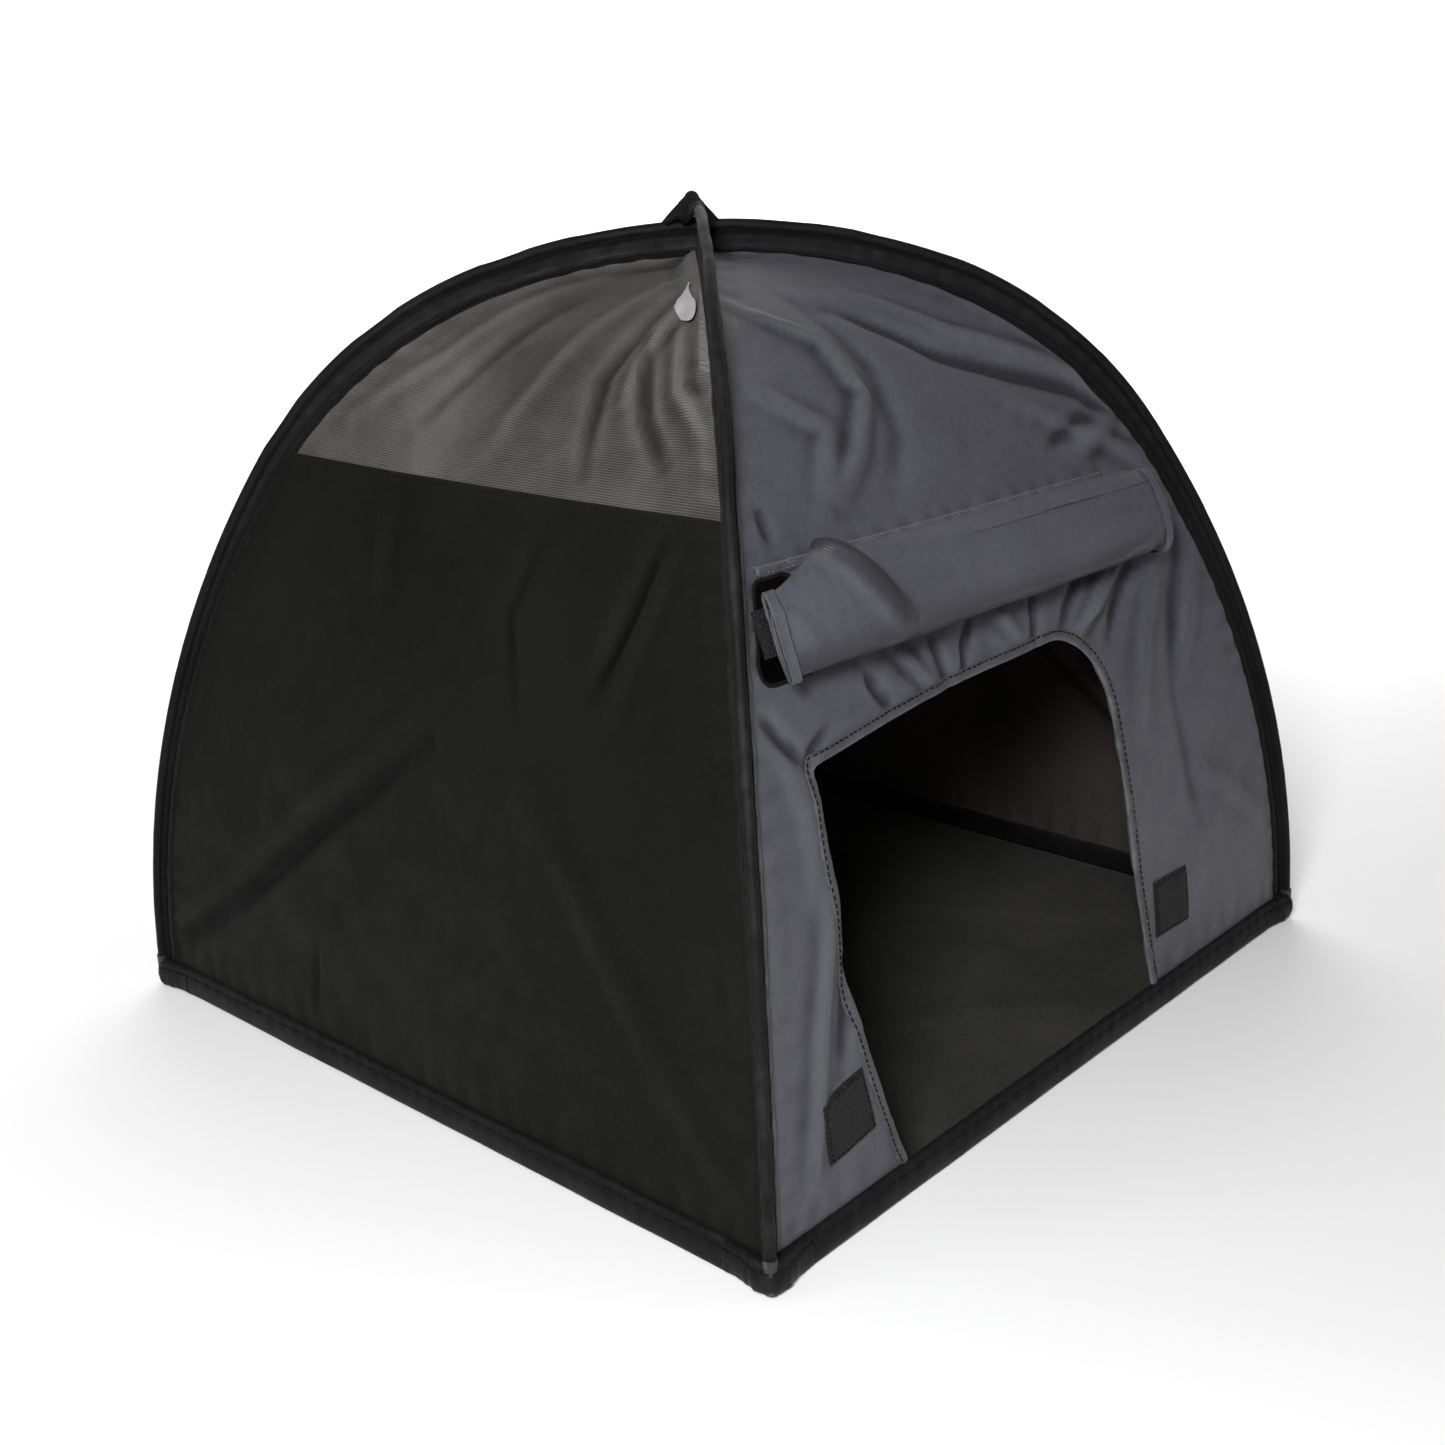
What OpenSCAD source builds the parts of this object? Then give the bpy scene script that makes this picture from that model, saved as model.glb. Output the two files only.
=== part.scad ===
// Small pop-up field shelter: a square floor, four curved cloth walls, two crossed
// spring rods in outside sleeves, two mesh windows and a roll-up door.
// Axes: +Z up, the door wall faces -Y, the origin is on the ground under the crown.

/* [Base] */
// Side of the square base, over the hems
side = 400; // [380:10:480]
// Height of the tubular hem round the base
hem_h = 14; // [10:1:18]
// Thickness of the hem
hem_t = 6; // [5:1:8]
// Radius of the corner pocket over each rod foot
pocket_r = 8; // [7:0.5:10]

/* [Arches] */
// Height of the sleeve's outer edge at the crown
crown_h = 354; // [330:2:380]
// Width of the sleeve fin at the crown
fin_top = 13; // [10:1:16]
// Width of the sleeve fin at the foot
fin_foot = 5; // [4:0.5:8]
// Thickness of the sleeve, across both layers
fin_t = 5; // [4.6:0.2:6]
// Diameter of the spring rod
rod_d = 3; // [2:0.5:3.5]
// How much higher the upper rod passes over the lower one
cross_rise = 7; // [6:0.5:9]
// Tangent angle where the foot arc meets the shoulder arc
foot_angle = 34; // [28:1:40]
// Tangent angle where the shoulder arc meets the crown arc
shoulder_angle = 72; // [66:1:76]
// Radius of the shoulder arc
shoulder_r = 205; // [190:5:230]

/* [Walls] */
// Thickness of the wall cloth
cloth = 1.2; // [1:0.1:1.6]
// Height of the lower edge of both mesh windows
window_z = 261; // [240:1:280]
// Height of the hem under the mesh
window_hem = 4.4; // [3:0.2:6]

/* [Door] */
// Height of the top edge of the doorway
door_top = 183; // [165:1:190]
// Left jamb at its widest, from the middle of the wall
door_left = 138; // [120:1:140]
// Right jamb at its narrowest, from the middle of the wall
door_right = 59; // [45:1:70]
// Width of the folded binding round the doorway
binding = 4.4; // [3:0.2:6]
// Side of the square hook-and-loop patches
patch = 27; // [25:1:30]
// Height of the middle of the patches
patch_z = 48; // [44:1:52]
// Radius of the doorway's upper right corner
door_corner = 35; // [20:1:45]

/* [Rolled flap] */
// Height of the rolled flap along the wall
roll_h = 40; // [36:1:46]
// Depth of the rolled flap off the wall
roll_d = 16; // [14:1:22]
// Left end of the roll
roll_x0 = -145; // [-146:1:-130]
// Right end of the roll
roll_x1 = 110; // [100:1:120]
// Height of the middle of the roll
roll_z = 221; // [216:1:226]
// How far the roll's right end hangs low, in degrees
roll_lean = 1.3; // [0:0.1:2]

/* [Hidden] */

$fn = 48;
half = side / 2;
diag = side / sqrt(2);          // foot of the sleeve's outer edge, along the diagonal
wall_foot = diag - fin_foot;    // foot of the wall's corner, along the diagonal
wall_top = crown_h - fin_top;   // where the four walls meet
edge = (fin_t / 2 + 0.03) * sqrt(2); // walls stop this far short of the diagonal
gap = 0.3;

BLACK = "#17171a"; CLOTH = "#45464f"; FLOOR = "#34342e"; MESH = "#8d8c88";
PIPING = "#7b7b80"; STEEL = "#6f7174"; WHITE = "#e9e9e6";

// ---------- arch of three tangent arcs, in its own upright plane (u, z) ----------
// foot arc 0..t1, shoulder arc t1..t2, crown arc t2..90, t measured from upright
function foot_radius(d, h, r2) = let (t1 = foot_angle, t2 = shoulder_angle,
  a = 1 - cos(t1), b = cos(t2), c = sin(t1), e = 1 - sin(t2),
  p = d - r2 * (cos(t1) - cos(t2)), q = h - r2 * (sin(t2) - sin(t1))) (p * e - b * q) / (a * e - b * c);
function crown_radius(d, h, r2) = let (t1 = foot_angle, t2 = shoulder_angle,
  a = 1 - cos(t1), b = cos(t2), c = sin(t1), e = 1 - sin(t2),
  p = d - r2 * (cos(t1) - cos(t2)), q = h - r2 * (sin(t2) - sin(t1))) (a * q - c * p) / (a * e - b * c);
// centres of the three arcs
function arch_arcs(d, h, r2) = let (r1 = foot_radius(d, h, r2), r3 = crown_radius(d, h, r2),
  c1 = [d - r1, 0],
  c2 = c1 + (r1 - r2) * [cos(foot_angle), sin(foot_angle)],
  c3 = [0, h - r3]) [[c1, r1], [c2, r2], [c3, r3]];
function steps(a, b, k) = [for (i = [0 : k]) a + (b - a) * i / k];
// points up one side of the arch, foot to crown
function arch_side(d, h, r2 = shoulder_r, k = 7) = let (s = arch_arcs(d, h, r2)) concat(
  [for (t = steps(0, foot_angle, k)) s[0][0] + s[0][1] * [cos(t), sin(t)]],
  [for (i = [1 : k]) let (t = foot_angle + (shoulder_angle - foot_angle) * i / k) s[1][0] + s[1][1] * [cos(t), sin(t)]],
  [for (i = [1 : k - 2]) let (t = shoulder_angle + (90 - shoulder_angle) * i / (k - 2)) s[2][0] + s[2][1] * [cos(t), sin(t)]]);
function flip(p) = [for (i = [len(p) - 1 : -1 : 0]) [-p[i][0], p[i][1]]];
function arch_full(d, h, r2 = shoulder_r, k = 7) = let (p = arch_side(d, h, r2, k)) concat(p, [for (i = [len(p) - 2 : -1 : 0]) [-p[i][0], p[i][1]]]);
function back(p) = [for (i = [len(p) - 1 : -1 : 0]) p[i]];

// ---------- wall frame: outward is +X, width is Y; the profile is a(z) ----------
function wall_profile(out) = [for (p = arch_side(wall_foot + out * sqrt(2), wall_top + out)) [p[0] / sqrt(2), p[1]]];

// A curved sheet between two offsets of the wall surface, from z0 to z1
module sheet(out, thick, z0, z1) {
  rotate([90, 0, 0]) linear_extrude(2 * side, center = true) intersection() {
    polygon(concat(wall_profile(out), back(wall_profile(out - thick))));
    translate([0, z0]) square([side, z1 - z0]);
  }
}
// The part of plan that belongs to one wall, trimmed by m at each side edge
module wedge(m) {
  translate([0, 0, -1]) linear_extrude(crown_h + 20)
    polygon([[m, 0], [side, side - m], [side, m - side]]);
}
module panel(z0, z1, out = 0, thick = cloth) { intersection() { sheet(out, thick, z0, z1); wedge(edge); } }
module on_front() { rotate([0, 0, -90]) children(); }
module on_right() { children(); }
module on_back() { rotate([0, 0, 90]) children(); }
module on_left() { rotate([0, 0, 180]) children(); }
// An outline drawn in world X and Z, pushed through the front wall
module through_front() { rotate([90, 0, 0]) linear_extrude(side) children(); }

// ---------- doorway outline, grown by g ----------
function left_jamb(z) = -door_left + (z < 115 ? 18 * pow((115 - z) / 89, 2) : 6 * pow((z - 115) / 67, 2));
function right_jamb(z) = door_right + (z < 100 ? 8 * pow((100 - z) / 75, 2) : 0);
module doorway(g) {
  c = [door_right - door_corner, door_top - door_corner];
  polygon(concat(
    [for (z = [0, 20, 35, 50, 65, 80, 95, 115, 135, 155, door_top + g]) [left_jamb(z) - g, z]],
    [for (q = steps(90, 0, 8)) c + (door_corner + g) * [cos(q), sin(q)]],
    [for (z = [100, 80, 60, 40, 20, 0]) [right_jamb(z) + g, z]]));
}
// slot beside the left end of the roll, between the sleeve and the roll
module slot(g) { polygon([[-149 - g, 207 - g], [-118 + g, 207 - g], [-114 + g, 240 + g], [-135 - g, 240 + g]]); }

// ---------- rods and sleeves ----------
// round bar swept along the arch from height z0 on one side to z0 on the other
function foot_angle_at(s, z0) = asin(z0 / s[0][1]);
function rod_side(d, h, z0, k = 6) = let (s = arch_arcs(d, h, shoulder_r), a0 = foot_angle_at(s, z0)) concat(
  [for (t = steps(a0, foot_angle, k)) [s[0][0] + s[0][1] * [cos(t), sin(t)], t]],
  [for (i = [1 : k]) let (t = foot_angle + (shoulder_angle - foot_angle) * i / k) [s[1][0] + s[1][1] * [cos(t), sin(t)], t]],
  [for (i = [1 : 4]) let (t = shoulder_angle + (90 - shoulder_angle) * i / 4) [s[2][0] + s[2][1] * [cos(t), sin(t)], t]]);
function rod_path(d, h, z0) = let (p = rod_side(d, h, z0)) concat(p, [for (i = [len(p) - 2 : -1 : 0]) [[-p[i][0][0], p[i][0][1]], 180 - p[i][1]]]);
module arch_tube(d, h, rad, z0, sides = 10) {
  p = rod_path(d, h, z0);
  n = len(p);
  pts = [for (q = p) for (i = [0 : sides - 1]) let (a = 360 * i / sides, e = rad * cos(a))
    [q[0][0] + e * cos(q[1]), rad * sin(a), q[0][1] + e * sin(q[1])]];
  polyhedron(pts, concat([[for (i = [0 : sides - 1]) i]],
    [for (j = [0 : n - 2]) for (i = [0 : sides - 1]) let (b = (i + 1) % sides)
      [j * sides + b, j * sides + i, (j + 1) * sides + i, (j + 1) * sides + b]],
    [[for (i = [sides - 1 : -1 : 0]) (n - 1) * sides + i]]), convexity = 4);
}
module fin(h) {
  rotate([90, 0, 0]) linear_extrude(fin_t, center = true) intersection() {
    polygon(concat(arch_full(diag, h, shoulder_r, 9), back(arch_full(wall_foot + 0.05, wall_top + 0.05, shoulder_r, 7))));
    translate([-diag, hem_h + 2]) square([2 * diag, crown_h]);
  }
}
module rod(rise) { arch_tube(diag - fin_foot / 2, crown_h + rise - 4, rod_d / 2, 5); }
// flat tunnel between the two layers of the sleeve
module rod_tunnel(rise) {
  w = rod_d / 2 + 0.4;
  c = diag - fin_foot / 2;
  t = crown_h + rise - 4;
  rotate([90, 0, 0]) linear_extrude(rod_d + 0.6, center = true)
    polygon(concat(arch_full(c + w, t + w, shoulder_r, 9), back(arch_full(c - w, t - w, shoulder_r, 9))));
}
module upper() { rotate([0, 0, 45]) children(); }
module lower() { rotate([0, 0, -45]) children(); }

module pole_rod_upper() { color(STEEL) upper() rod(cross_rise); }
module pole_rod_lower() { color(STEEL) lower() rod(0); }
module pole_sleeve_lower() { color(BLACK) lower() difference() { fin(crown_h); rod_tunnel(0); } }
// the upper sleeve straddles the lower one at the crown
module pole_sleeve_upper() {
  color(BLACK) upper() difference() {
    fin(crown_h + cross_rise);
    rod_tunnel(cross_rise);
    translate([-(fin_t / 2 + 0.1), -side / 2, 0]) cube([fin_t + 0.2, side, crown_h + 0.1]);
  }
}
// folded scrap of cloth that peaks over the crossing, broad along the lower rod
module crown_cap() {
  t = crown_h + cross_rise;
  k = fin_t / 2 + 0.25;
  color(BLACK) lower() rotate([90, 0, 0]) linear_extrude(12, center = true)
    polygon([[-7.4, t - 1.2], [-5, t + 1.6], [-2.2, t + 5.4], [-0.9, t + 6.5], [0.9, t + 6.5], [2.2, t + 5.4], [5, t + 1.6], [7.4, t - 1.2],
      [k, t - 1.2], [k, t + 0.3], [-k, t + 0.3], [-k, t - 1.2]]);
}

// ---------- base ----------
module corner(sx, sy) { translate([sx * (diag - fin_foot / 2) / sqrt(2), sy * (diag - fin_foot / 2) / sqrt(2), 0]) children(); }
module pocket(sx, sy) {
  k = (diag - fin_foot / 2) / sqrt(2);
  color(BLACK) difference() {
    linear_extrude(hem_h) union() {
      translate([sx * (k - 2), sy * (k - 2)]) circle(pocket_r);
      for (q = [0, 1]) translate(q ? [sx * (half - hem_t / 2), sy * (half - 16)] : [sx * (half - 16), sy * (half - hem_t / 2)])
        square(q ? [hem_t, 16] : [16, hem_t], center = true);
    }
    corner(sx, sy) translate([0, 0, 1.5]) cylinder(h = 20, r = 2.95);
  }
}
module tip(sx, sy) {
  color(BLACK) corner(sx, sy) difference() {
    translate([0, 0, 1.6]) cylinder(h = hem_h, r = 2.8);
    translate([0, 0, 4.8]) cylinder(h = 20, r = rod_d / 2 + 0.6);
  }
}
module hem() {
  l = 2 * (half - 24) - 0.1;
  color(BLACK) rotate([90, 0, 0]) linear_extrude(l, center = true) union() {
    translate([half - hem_t / 2, hem_t / 2]) circle(hem_t / 2);
    translate([half - hem_t / 2, hem_h - hem_t / 2]) circle(hem_t / 2);
    translate([half - hem_t, hem_t / 2]) square([hem_t, hem_h - hem_t]);
  }
}
module floor_sheet() {
  b = half - hem_t - 0.05;
  color(FLOOR) difference() {
    translate([-b, -b, 0]) cube([2 * b, 2 * b, cloth]);
    for (x = [-1, 1], y = [-1, 1]) corner(x, y) translate([-2 * x, -2 * y, -1]) cylinder(h = 4, r = pocket_r + 0.05);
  }
}

// ---------- walls ----------
module front_wall() {
  color(CLOTH) difference() {
    on_front() panel(hem_h + 0.05, wall_top);
    through_front() doorway(binding + 0.05);
    intersection() { through_front() slot(1.65); on_front() wedge(edge + 3); }
  }
}
module door_binding() {
  color(CLOTH) difference() {
    intersection() { on_front() panel(hem_h + 0.05, wall_top, 0.4, 2); through_front() doorway(binding); }
    through_front() doorway(0);
  }
}
module slot_binding() {
  color(BLACK) difference() {
    intersection() { on_front() panel(hem_h, wall_top); through_front() slot(1.6); on_front() wedge(edge + 3.05); }
    intersection() { through_front() slot(0); on_front() wedge(edge + 4.6); }
  }
}
module side_wall() { color(BLACK) panel(hem_h + 0.05, window_z - window_hem - 0.05); }
module window_strip() { color(BLACK) panel(window_z - window_hem, window_z - 0.05, 0.4, 2); }
module window_mesh() { color(MESH) panel(window_z, wall_top, -0.2, 0.8); }
// narrow turned edge that stands along the side of a wall, beside the sleeve
module seam(s) {
  color(PIPING) intersection() {
    sheet(1.7, 1.65, hem_h + 3, wall_top + 1);
    difference() { wedge(edge); wedge(edge + 2.6); }
    translate([0, s > 0 ? 0 : -side, 0]) cube([side, side, crown_h]);
    translate([8, -side, 0]) cube([side, 2 * side, crown_h]);
  }
}

// ---------- door ----------
module wall_patch(x, lean) {
  color(BLACK) intersection() {
    on_front() sheet(0.75, 0.72, patch_z - patch, patch_z + patch);
    through_front() translate([x, patch_z]) rotate(lean) square(patch, center = true);
  }
}
// band that sews the flap's top edge to the wall
module flap_seam() {
  color(CLOTH) intersection() {
    on_front() sheet(1.6, 1.3, seam_z - 10, seam_z + 10);
    through_front() translate([roll_mid, seam_z]) rotate(-roll_lean * cos(roll_tilt)) square([232, 5], center = true);
  }
}
// The flap travels down an arc about a far axis, which follows the curved wall:
// the wall's profile is within 0.3 mm of a circle from the hem to the seam.
pivot_y = 373.9;
pivot_z = 6.4;
wall_arc = 570.1;
roll_off = 2.6;
roll_tilt = asin((roll_z - pivot_z) / wall_arc);
roll_mid = (roll_x0 + roll_x1) / 2;
seam_z = roll_z + (roll_h / 2 + 0.95) * cos(roll_tilt);
module at_roll() {
  translate([0, pivot_y, pivot_z]) rotate([-roll_tilt, 0, 0])
    translate([roll_mid, -(wall_arc + roll_off + roll_d / 2), 0]) rotate([0, roll_lean, 0]) translate([-roll_mid, 0, 0]) children();
}
module stadium(grow) {
  r = roll_d / 2 + grow;
  c = roll_h / 2 - roll_d / 2;
  union() { translate([0, c]) circle(r); translate([0, -c]) circle(r); square([2 * r, 2 * c], center = true); }
}
module along_x(x0, x1) { translate([x0, 0, 0]) rotate([90, 0, 90]) linear_extrude(x1 - x0) children(); }
module door_roll() {
  color(CLOTH) at_roll() difference() {
    along_x(roll_x0, roll_x1) stadium(0);
    along_x(roll_x0 - 1, roll_x0 + 7) stadium(-4);
    along_x(roll_x1 - 7, roll_x1 + 1) stadium(-4);
  }
}
module end_band(x) {
  color(BLACK) at_roll() difference() { along_x(x, x + 5) stadium(0.7); along_x(x - 1, x + 6) stadium(0.05); }
}
// stretch of flap that runs from its seam out over the top of the roll
module flap_sheet() {
  color(CLOTH) at_roll() translate([roll_x0 + 21, -4, roll_h / 2 + 0.35]) cube([roll_x1 - roll_x0 - 27, roll_d / 2 + 4 + 0.7, 1.2]);
}
// a loop patch on the back of the roll; its left x0 mm lie over the end band
module loop_patch(x, x0) {
  y = roll_d / 2;
  color(BLACK) at_roll() union() {
    translate([x - patch / 2, y + 0.75, -9]) cube([patch, 0.8, 18]);
    translate([x - patch / 2 + x0, y + 0.05, -9]) cube([patch - x0, 1, 18]);
  }
}
module care_label() {
  color(WHITE) on_left() intersection() {
    sheet(-1.2, 0.6, 326, 336);
    translate([0, 20, 0]) cube([side, 15, crown_h]);
  }
}

floor_sheet();
on_front() hem();  // base_hem_front
on_right() hem();  // base_hem_right
on_back() hem();  // base_hem_back
on_left() hem();  // base_hem_left
pocket(-1, -1);  // corner_pocket_front_left
pocket(1, -1);  // corner_pocket_front_right
pocket(1, 1);  // corner_pocket_back_right
pocket(-1, 1);  // corner_pocket_back_left
tip(-1, -1);  // pole_tip_front_left
tip(1, -1);  // pole_tip_front_right
tip(1, 1);  // pole_tip_back_right
tip(-1, 1);  // pole_tip_back_left
pole_rod_upper();
pole_rod_lower();
pole_sleeve_upper();
pole_sleeve_lower();
crown_cap();
front_wall();
color(CLOTH) on_back() panel(hem_h + 0.05, wall_top);  // back_wall
on_left() side_wall();  // left_wall
on_right() side_wall();  // right_wall
on_left() window_mesh();  // left_window_mesh
on_right() window_mesh();  // right_window_mesh
on_left() window_strip();  // left_window_hem
on_right() window_strip();  // right_window_hem
on_front() seam(-1);  // front_seam_left
on_front() seam(1);  // front_seam_right
on_back() seam(1);  // back_seam_left
on_back() seam(-1);  // back_seam_right
door_binding();
slot_binding();
wall_patch(-149, 10);  // door_hook_left
wall_patch(88, 0);  // door_hook_right
care_label();
flap_seam();
flap_sheet();
door_roll();
end_band(roll_x0 + 0.5);  // roll_binding_left
end_band(roll_x1 - 5.5);  // roll_binding_right
loop_patch(roll_x0 + 14, 5.2);  // flap_loop_left
loop_patch(88, 0);  // flap_loop_right
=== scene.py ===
"""Small pop-up field shelter, built as cloth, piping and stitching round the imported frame."""

import math

import bmesh
import bpy
import numpy as np
from mathutils import Matrix, Vector
from mathutils.geometry import delaunay_2d_cdt


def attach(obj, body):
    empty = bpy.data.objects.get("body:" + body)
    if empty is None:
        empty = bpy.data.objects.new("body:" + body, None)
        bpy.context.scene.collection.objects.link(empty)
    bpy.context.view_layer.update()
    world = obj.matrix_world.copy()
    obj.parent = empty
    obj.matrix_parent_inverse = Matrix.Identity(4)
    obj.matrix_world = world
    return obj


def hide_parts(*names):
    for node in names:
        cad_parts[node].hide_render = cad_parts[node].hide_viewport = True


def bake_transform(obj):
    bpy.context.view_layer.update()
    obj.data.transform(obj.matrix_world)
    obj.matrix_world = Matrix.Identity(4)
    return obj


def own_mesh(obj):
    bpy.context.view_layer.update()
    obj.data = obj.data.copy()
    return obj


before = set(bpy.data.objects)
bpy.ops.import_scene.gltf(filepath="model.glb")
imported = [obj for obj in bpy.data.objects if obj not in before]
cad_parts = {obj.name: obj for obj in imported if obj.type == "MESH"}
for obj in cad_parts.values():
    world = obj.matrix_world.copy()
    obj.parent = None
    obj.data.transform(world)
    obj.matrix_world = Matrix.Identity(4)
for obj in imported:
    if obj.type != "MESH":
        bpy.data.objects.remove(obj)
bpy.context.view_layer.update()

# ---------------------------------------------------------------- sizes, metres
SIDE = 0.400          # square base over the hems
HALF = SIDE / 2
HEM_H = 0.014
HEM_T = 0.006
HEM_GIRTH = 0.036
HEM_SEAM = 0.0036     # its stitching, above its middle
DIAG = SIDE / math.sqrt(2)
WALL_FOOT = DIAG - 0.005
WALL_TOP = 0.341
CROWN_H = 0.354
CROSS_RISE = 0.007
SHOULDER_R = 0.205
FOOT_ANGLE = math.radians(34)
SHOULDER_ANGLE = math.radians(72)
EDGE = (0.0025 + 0.00003) * math.sqrt(2)   # walls stop this far short of the diagonal
WINDOW_Z = 0.261
DOOR_TOP = 0.183
DOOR_LEFT, DOOR_RIGHT, DOOR_CORNER = 0.138, 0.059, 0.035
BINDING = 0.0044
PIVOT_Y, PIVOT_Z, WALL_ARC = 0.3739, 0.0064, 0.5701
ROLL_OFF, ROLL_H, ROLL_D = 0.0026, 0.040, 0.016
ROLL_X0, ROLL_X1, ROLL_Z = -0.145, 0.110, 0.221
ROLL_TILT = math.asin((ROLL_Z - PIVOT_Z) / WALL_ARC)
ROLL_LEAN = math.radians(1.3)              # the right end hangs a little low
ROLL_MID = (ROLL_X0 + ROLL_X1) / 2
SEAM_Z = ROLL_Z + (ROLL_H / 2 + 0.00095) * math.cos(ROLL_TILT)
CLOTH_T = 0.00045
INNER_SKIN = 0.0007                        # cloth thickness of the roll
EDGE_BAND_W = 0.0046
ROD_R, ROD_GIRTH = 0.0015, 0.0094
ALL_ROUND = 2 * math.pi
mm = 0.001
K = np.array([0, 0, 1.0])
UP = {"upper": (np.array([1, 1, 0]) / math.sqrt(2), np.array([-1, 1, 0]) / math.sqrt(2)),
      "lower": (np.array([1, -1, 0]) / math.sqrt(2), np.array([1, 1, 0]) / math.sqrt(2))}


# ---------------------------------------------------------------- small maths
def smooth(x):
    x = np.clip(x, 0.0, 1.0)
    return x * x * (3 - 2 * x)


def noise(x, y, size, seed):
    """Smooth value noise between -1 and 1, with features about size metres across."""
    grid = np.random.RandomState(seed).uniform(-1, 1, (128, 128))
    fx, fy = np.asarray(x, float) / size + 500, np.asarray(y, float) / size + 500
    ix, iy = np.floor(fx).astype(int), np.floor(fy).astype(int)
    tx, ty = fx - ix, fy - iy
    tx, ty = tx**3 * (tx * (6 * tx - 15) + 10), ty**3 * (ty * (6 * ty - 15) + 10)
    ix, iy, jx, jy = ix % 128, iy % 128, (ix + 1) % 128, (iy + 1) % 128
    low = grid[ix, iy] * (1 - tx) + grid[jx, iy] * tx
    high = grid[ix, jy] * (1 - tx) + grid[jx, jy] * tx
    return low * (1 - ty) + high * ty


def along_line(x, y, line):
    """Distance from each point to a line of points, and how far along it the nearest point is, 0 to 1."""
    line = np.asarray(line, float)
    seg = np.diff(line, axis=0)
    size = np.hypot(*seg.T)
    start = np.concatenate([[0], np.cumsum(size)])
    best, where = np.full(np.shape(x), 9.0), np.zeros(np.shape(x))
    for p, d, n, s0 in zip(line, seg, size, start):
        t = np.clip(((x - p[0]) * d[0] + (y - p[1]) * d[1]) / n**2, 0, 1)
        dist = np.hypot(x - p[0] - t * d[0], y - p[1] - t * d[1])
        near = dist < best
        best, where = np.where(near, dist, best), np.where(near, (s0 + t * n) / start[-1], where)
    return best, where


def fold(x, y, line, high, wide):
    """A soft ridge (or a valley, where high is negative) along a line, fading at both ends."""
    dist, t = along_line(x, y, line)
    return high * np.exp(-((dist / wide) ** 2)) * np.sqrt(np.sin(math.pi * np.clip(t, 0.03, 0.97)))


def creased(x, y, table, second=float, tall=1.0, wide=1.0):
    """Folds from a table of (points, height, width) in mm; second turns a point's other coordinate into y."""
    return sum(fold(x, y, [(p * mm, second(q * mm)) for p, q in line], high * mm * tall, width * mm * wide)
               for line, high, width in table)


def inside(poly, x, y):
    poly = np.asarray(poly, float)
    hit = np.zeros(np.shape(x), bool)
    for (x0, y0), (x1, y1) in zip(poly, np.roll(poly, -1, axis=0)):
        if y0 == y1:
            continue
        hit ^= ((y0 > y) != (y1 > y)) & (x < (x1 - x0) * (y - y0) / (y1 - y0) + x0)
    return hit


def run_along(line):
    """Distance of each point of a line from its first one, measured along it."""
    return np.concatenate([[0], np.cumsum(np.linalg.norm(np.diff(line, axis=0), axis=1))])


def unit(v):
    return v / np.maximum(np.linalg.norm(v, axis=-1)[..., None], 1e-12)


def pairs(a, b):
    """Two arrays spread to one shape and paired up."""
    return np.stack(np.broadcast_arrays(a, b), axis=-1)


def bell(x, wide):
    return np.exp(-((x / wide) ** 2))


def flat_noise(x, size, seed):
    """The same noise along one direction only."""
    return noise(x, x * 0, size, seed)


def resample(line, step, closed=False):
    line = np.asarray(line, float)
    if closed:
        line = np.vstack([line, line[:1]])
    run = run_along(line)
    count = max(int(round(run[-1] / step)), 2)
    at = np.linspace(0, run[-1], count + 1)
    if closed:
        at = at[:-1]
    return np.stack([np.interp(at, run, line[:, k]) for k in range(line.shape[1])], axis=1)


def rounded(line, radius, closed=False):
    """The same outline with an arc of this radius at each corner."""
    line = [np.asarray(p, float) for p in line]
    out, n = [], len(line)
    for i, p in enumerate(line):
        if not closed and i in (0, n - 1):
            out.append(p)
            continue
        a, b = line[i - 1] - p, line[(i + 1) % n] - p
        la, lb = np.linalg.norm(a), np.linalg.norm(b)
        a, b = a / la, b / lb
        turn = math.acos(max(-1.0, min(1.0, float(a @ b))))
        if turn > math.radians(150):
            out.append(p)
            continue
        cut = min(radius / math.tan(turn / 2), 0.45 * la, 0.45 * lb)
        for t in np.linspace(0, 1, 9):
            out.append(p + a * cut * (1 - t) ** 2 + b * cut * t**2)
    return np.array(out)


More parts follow.
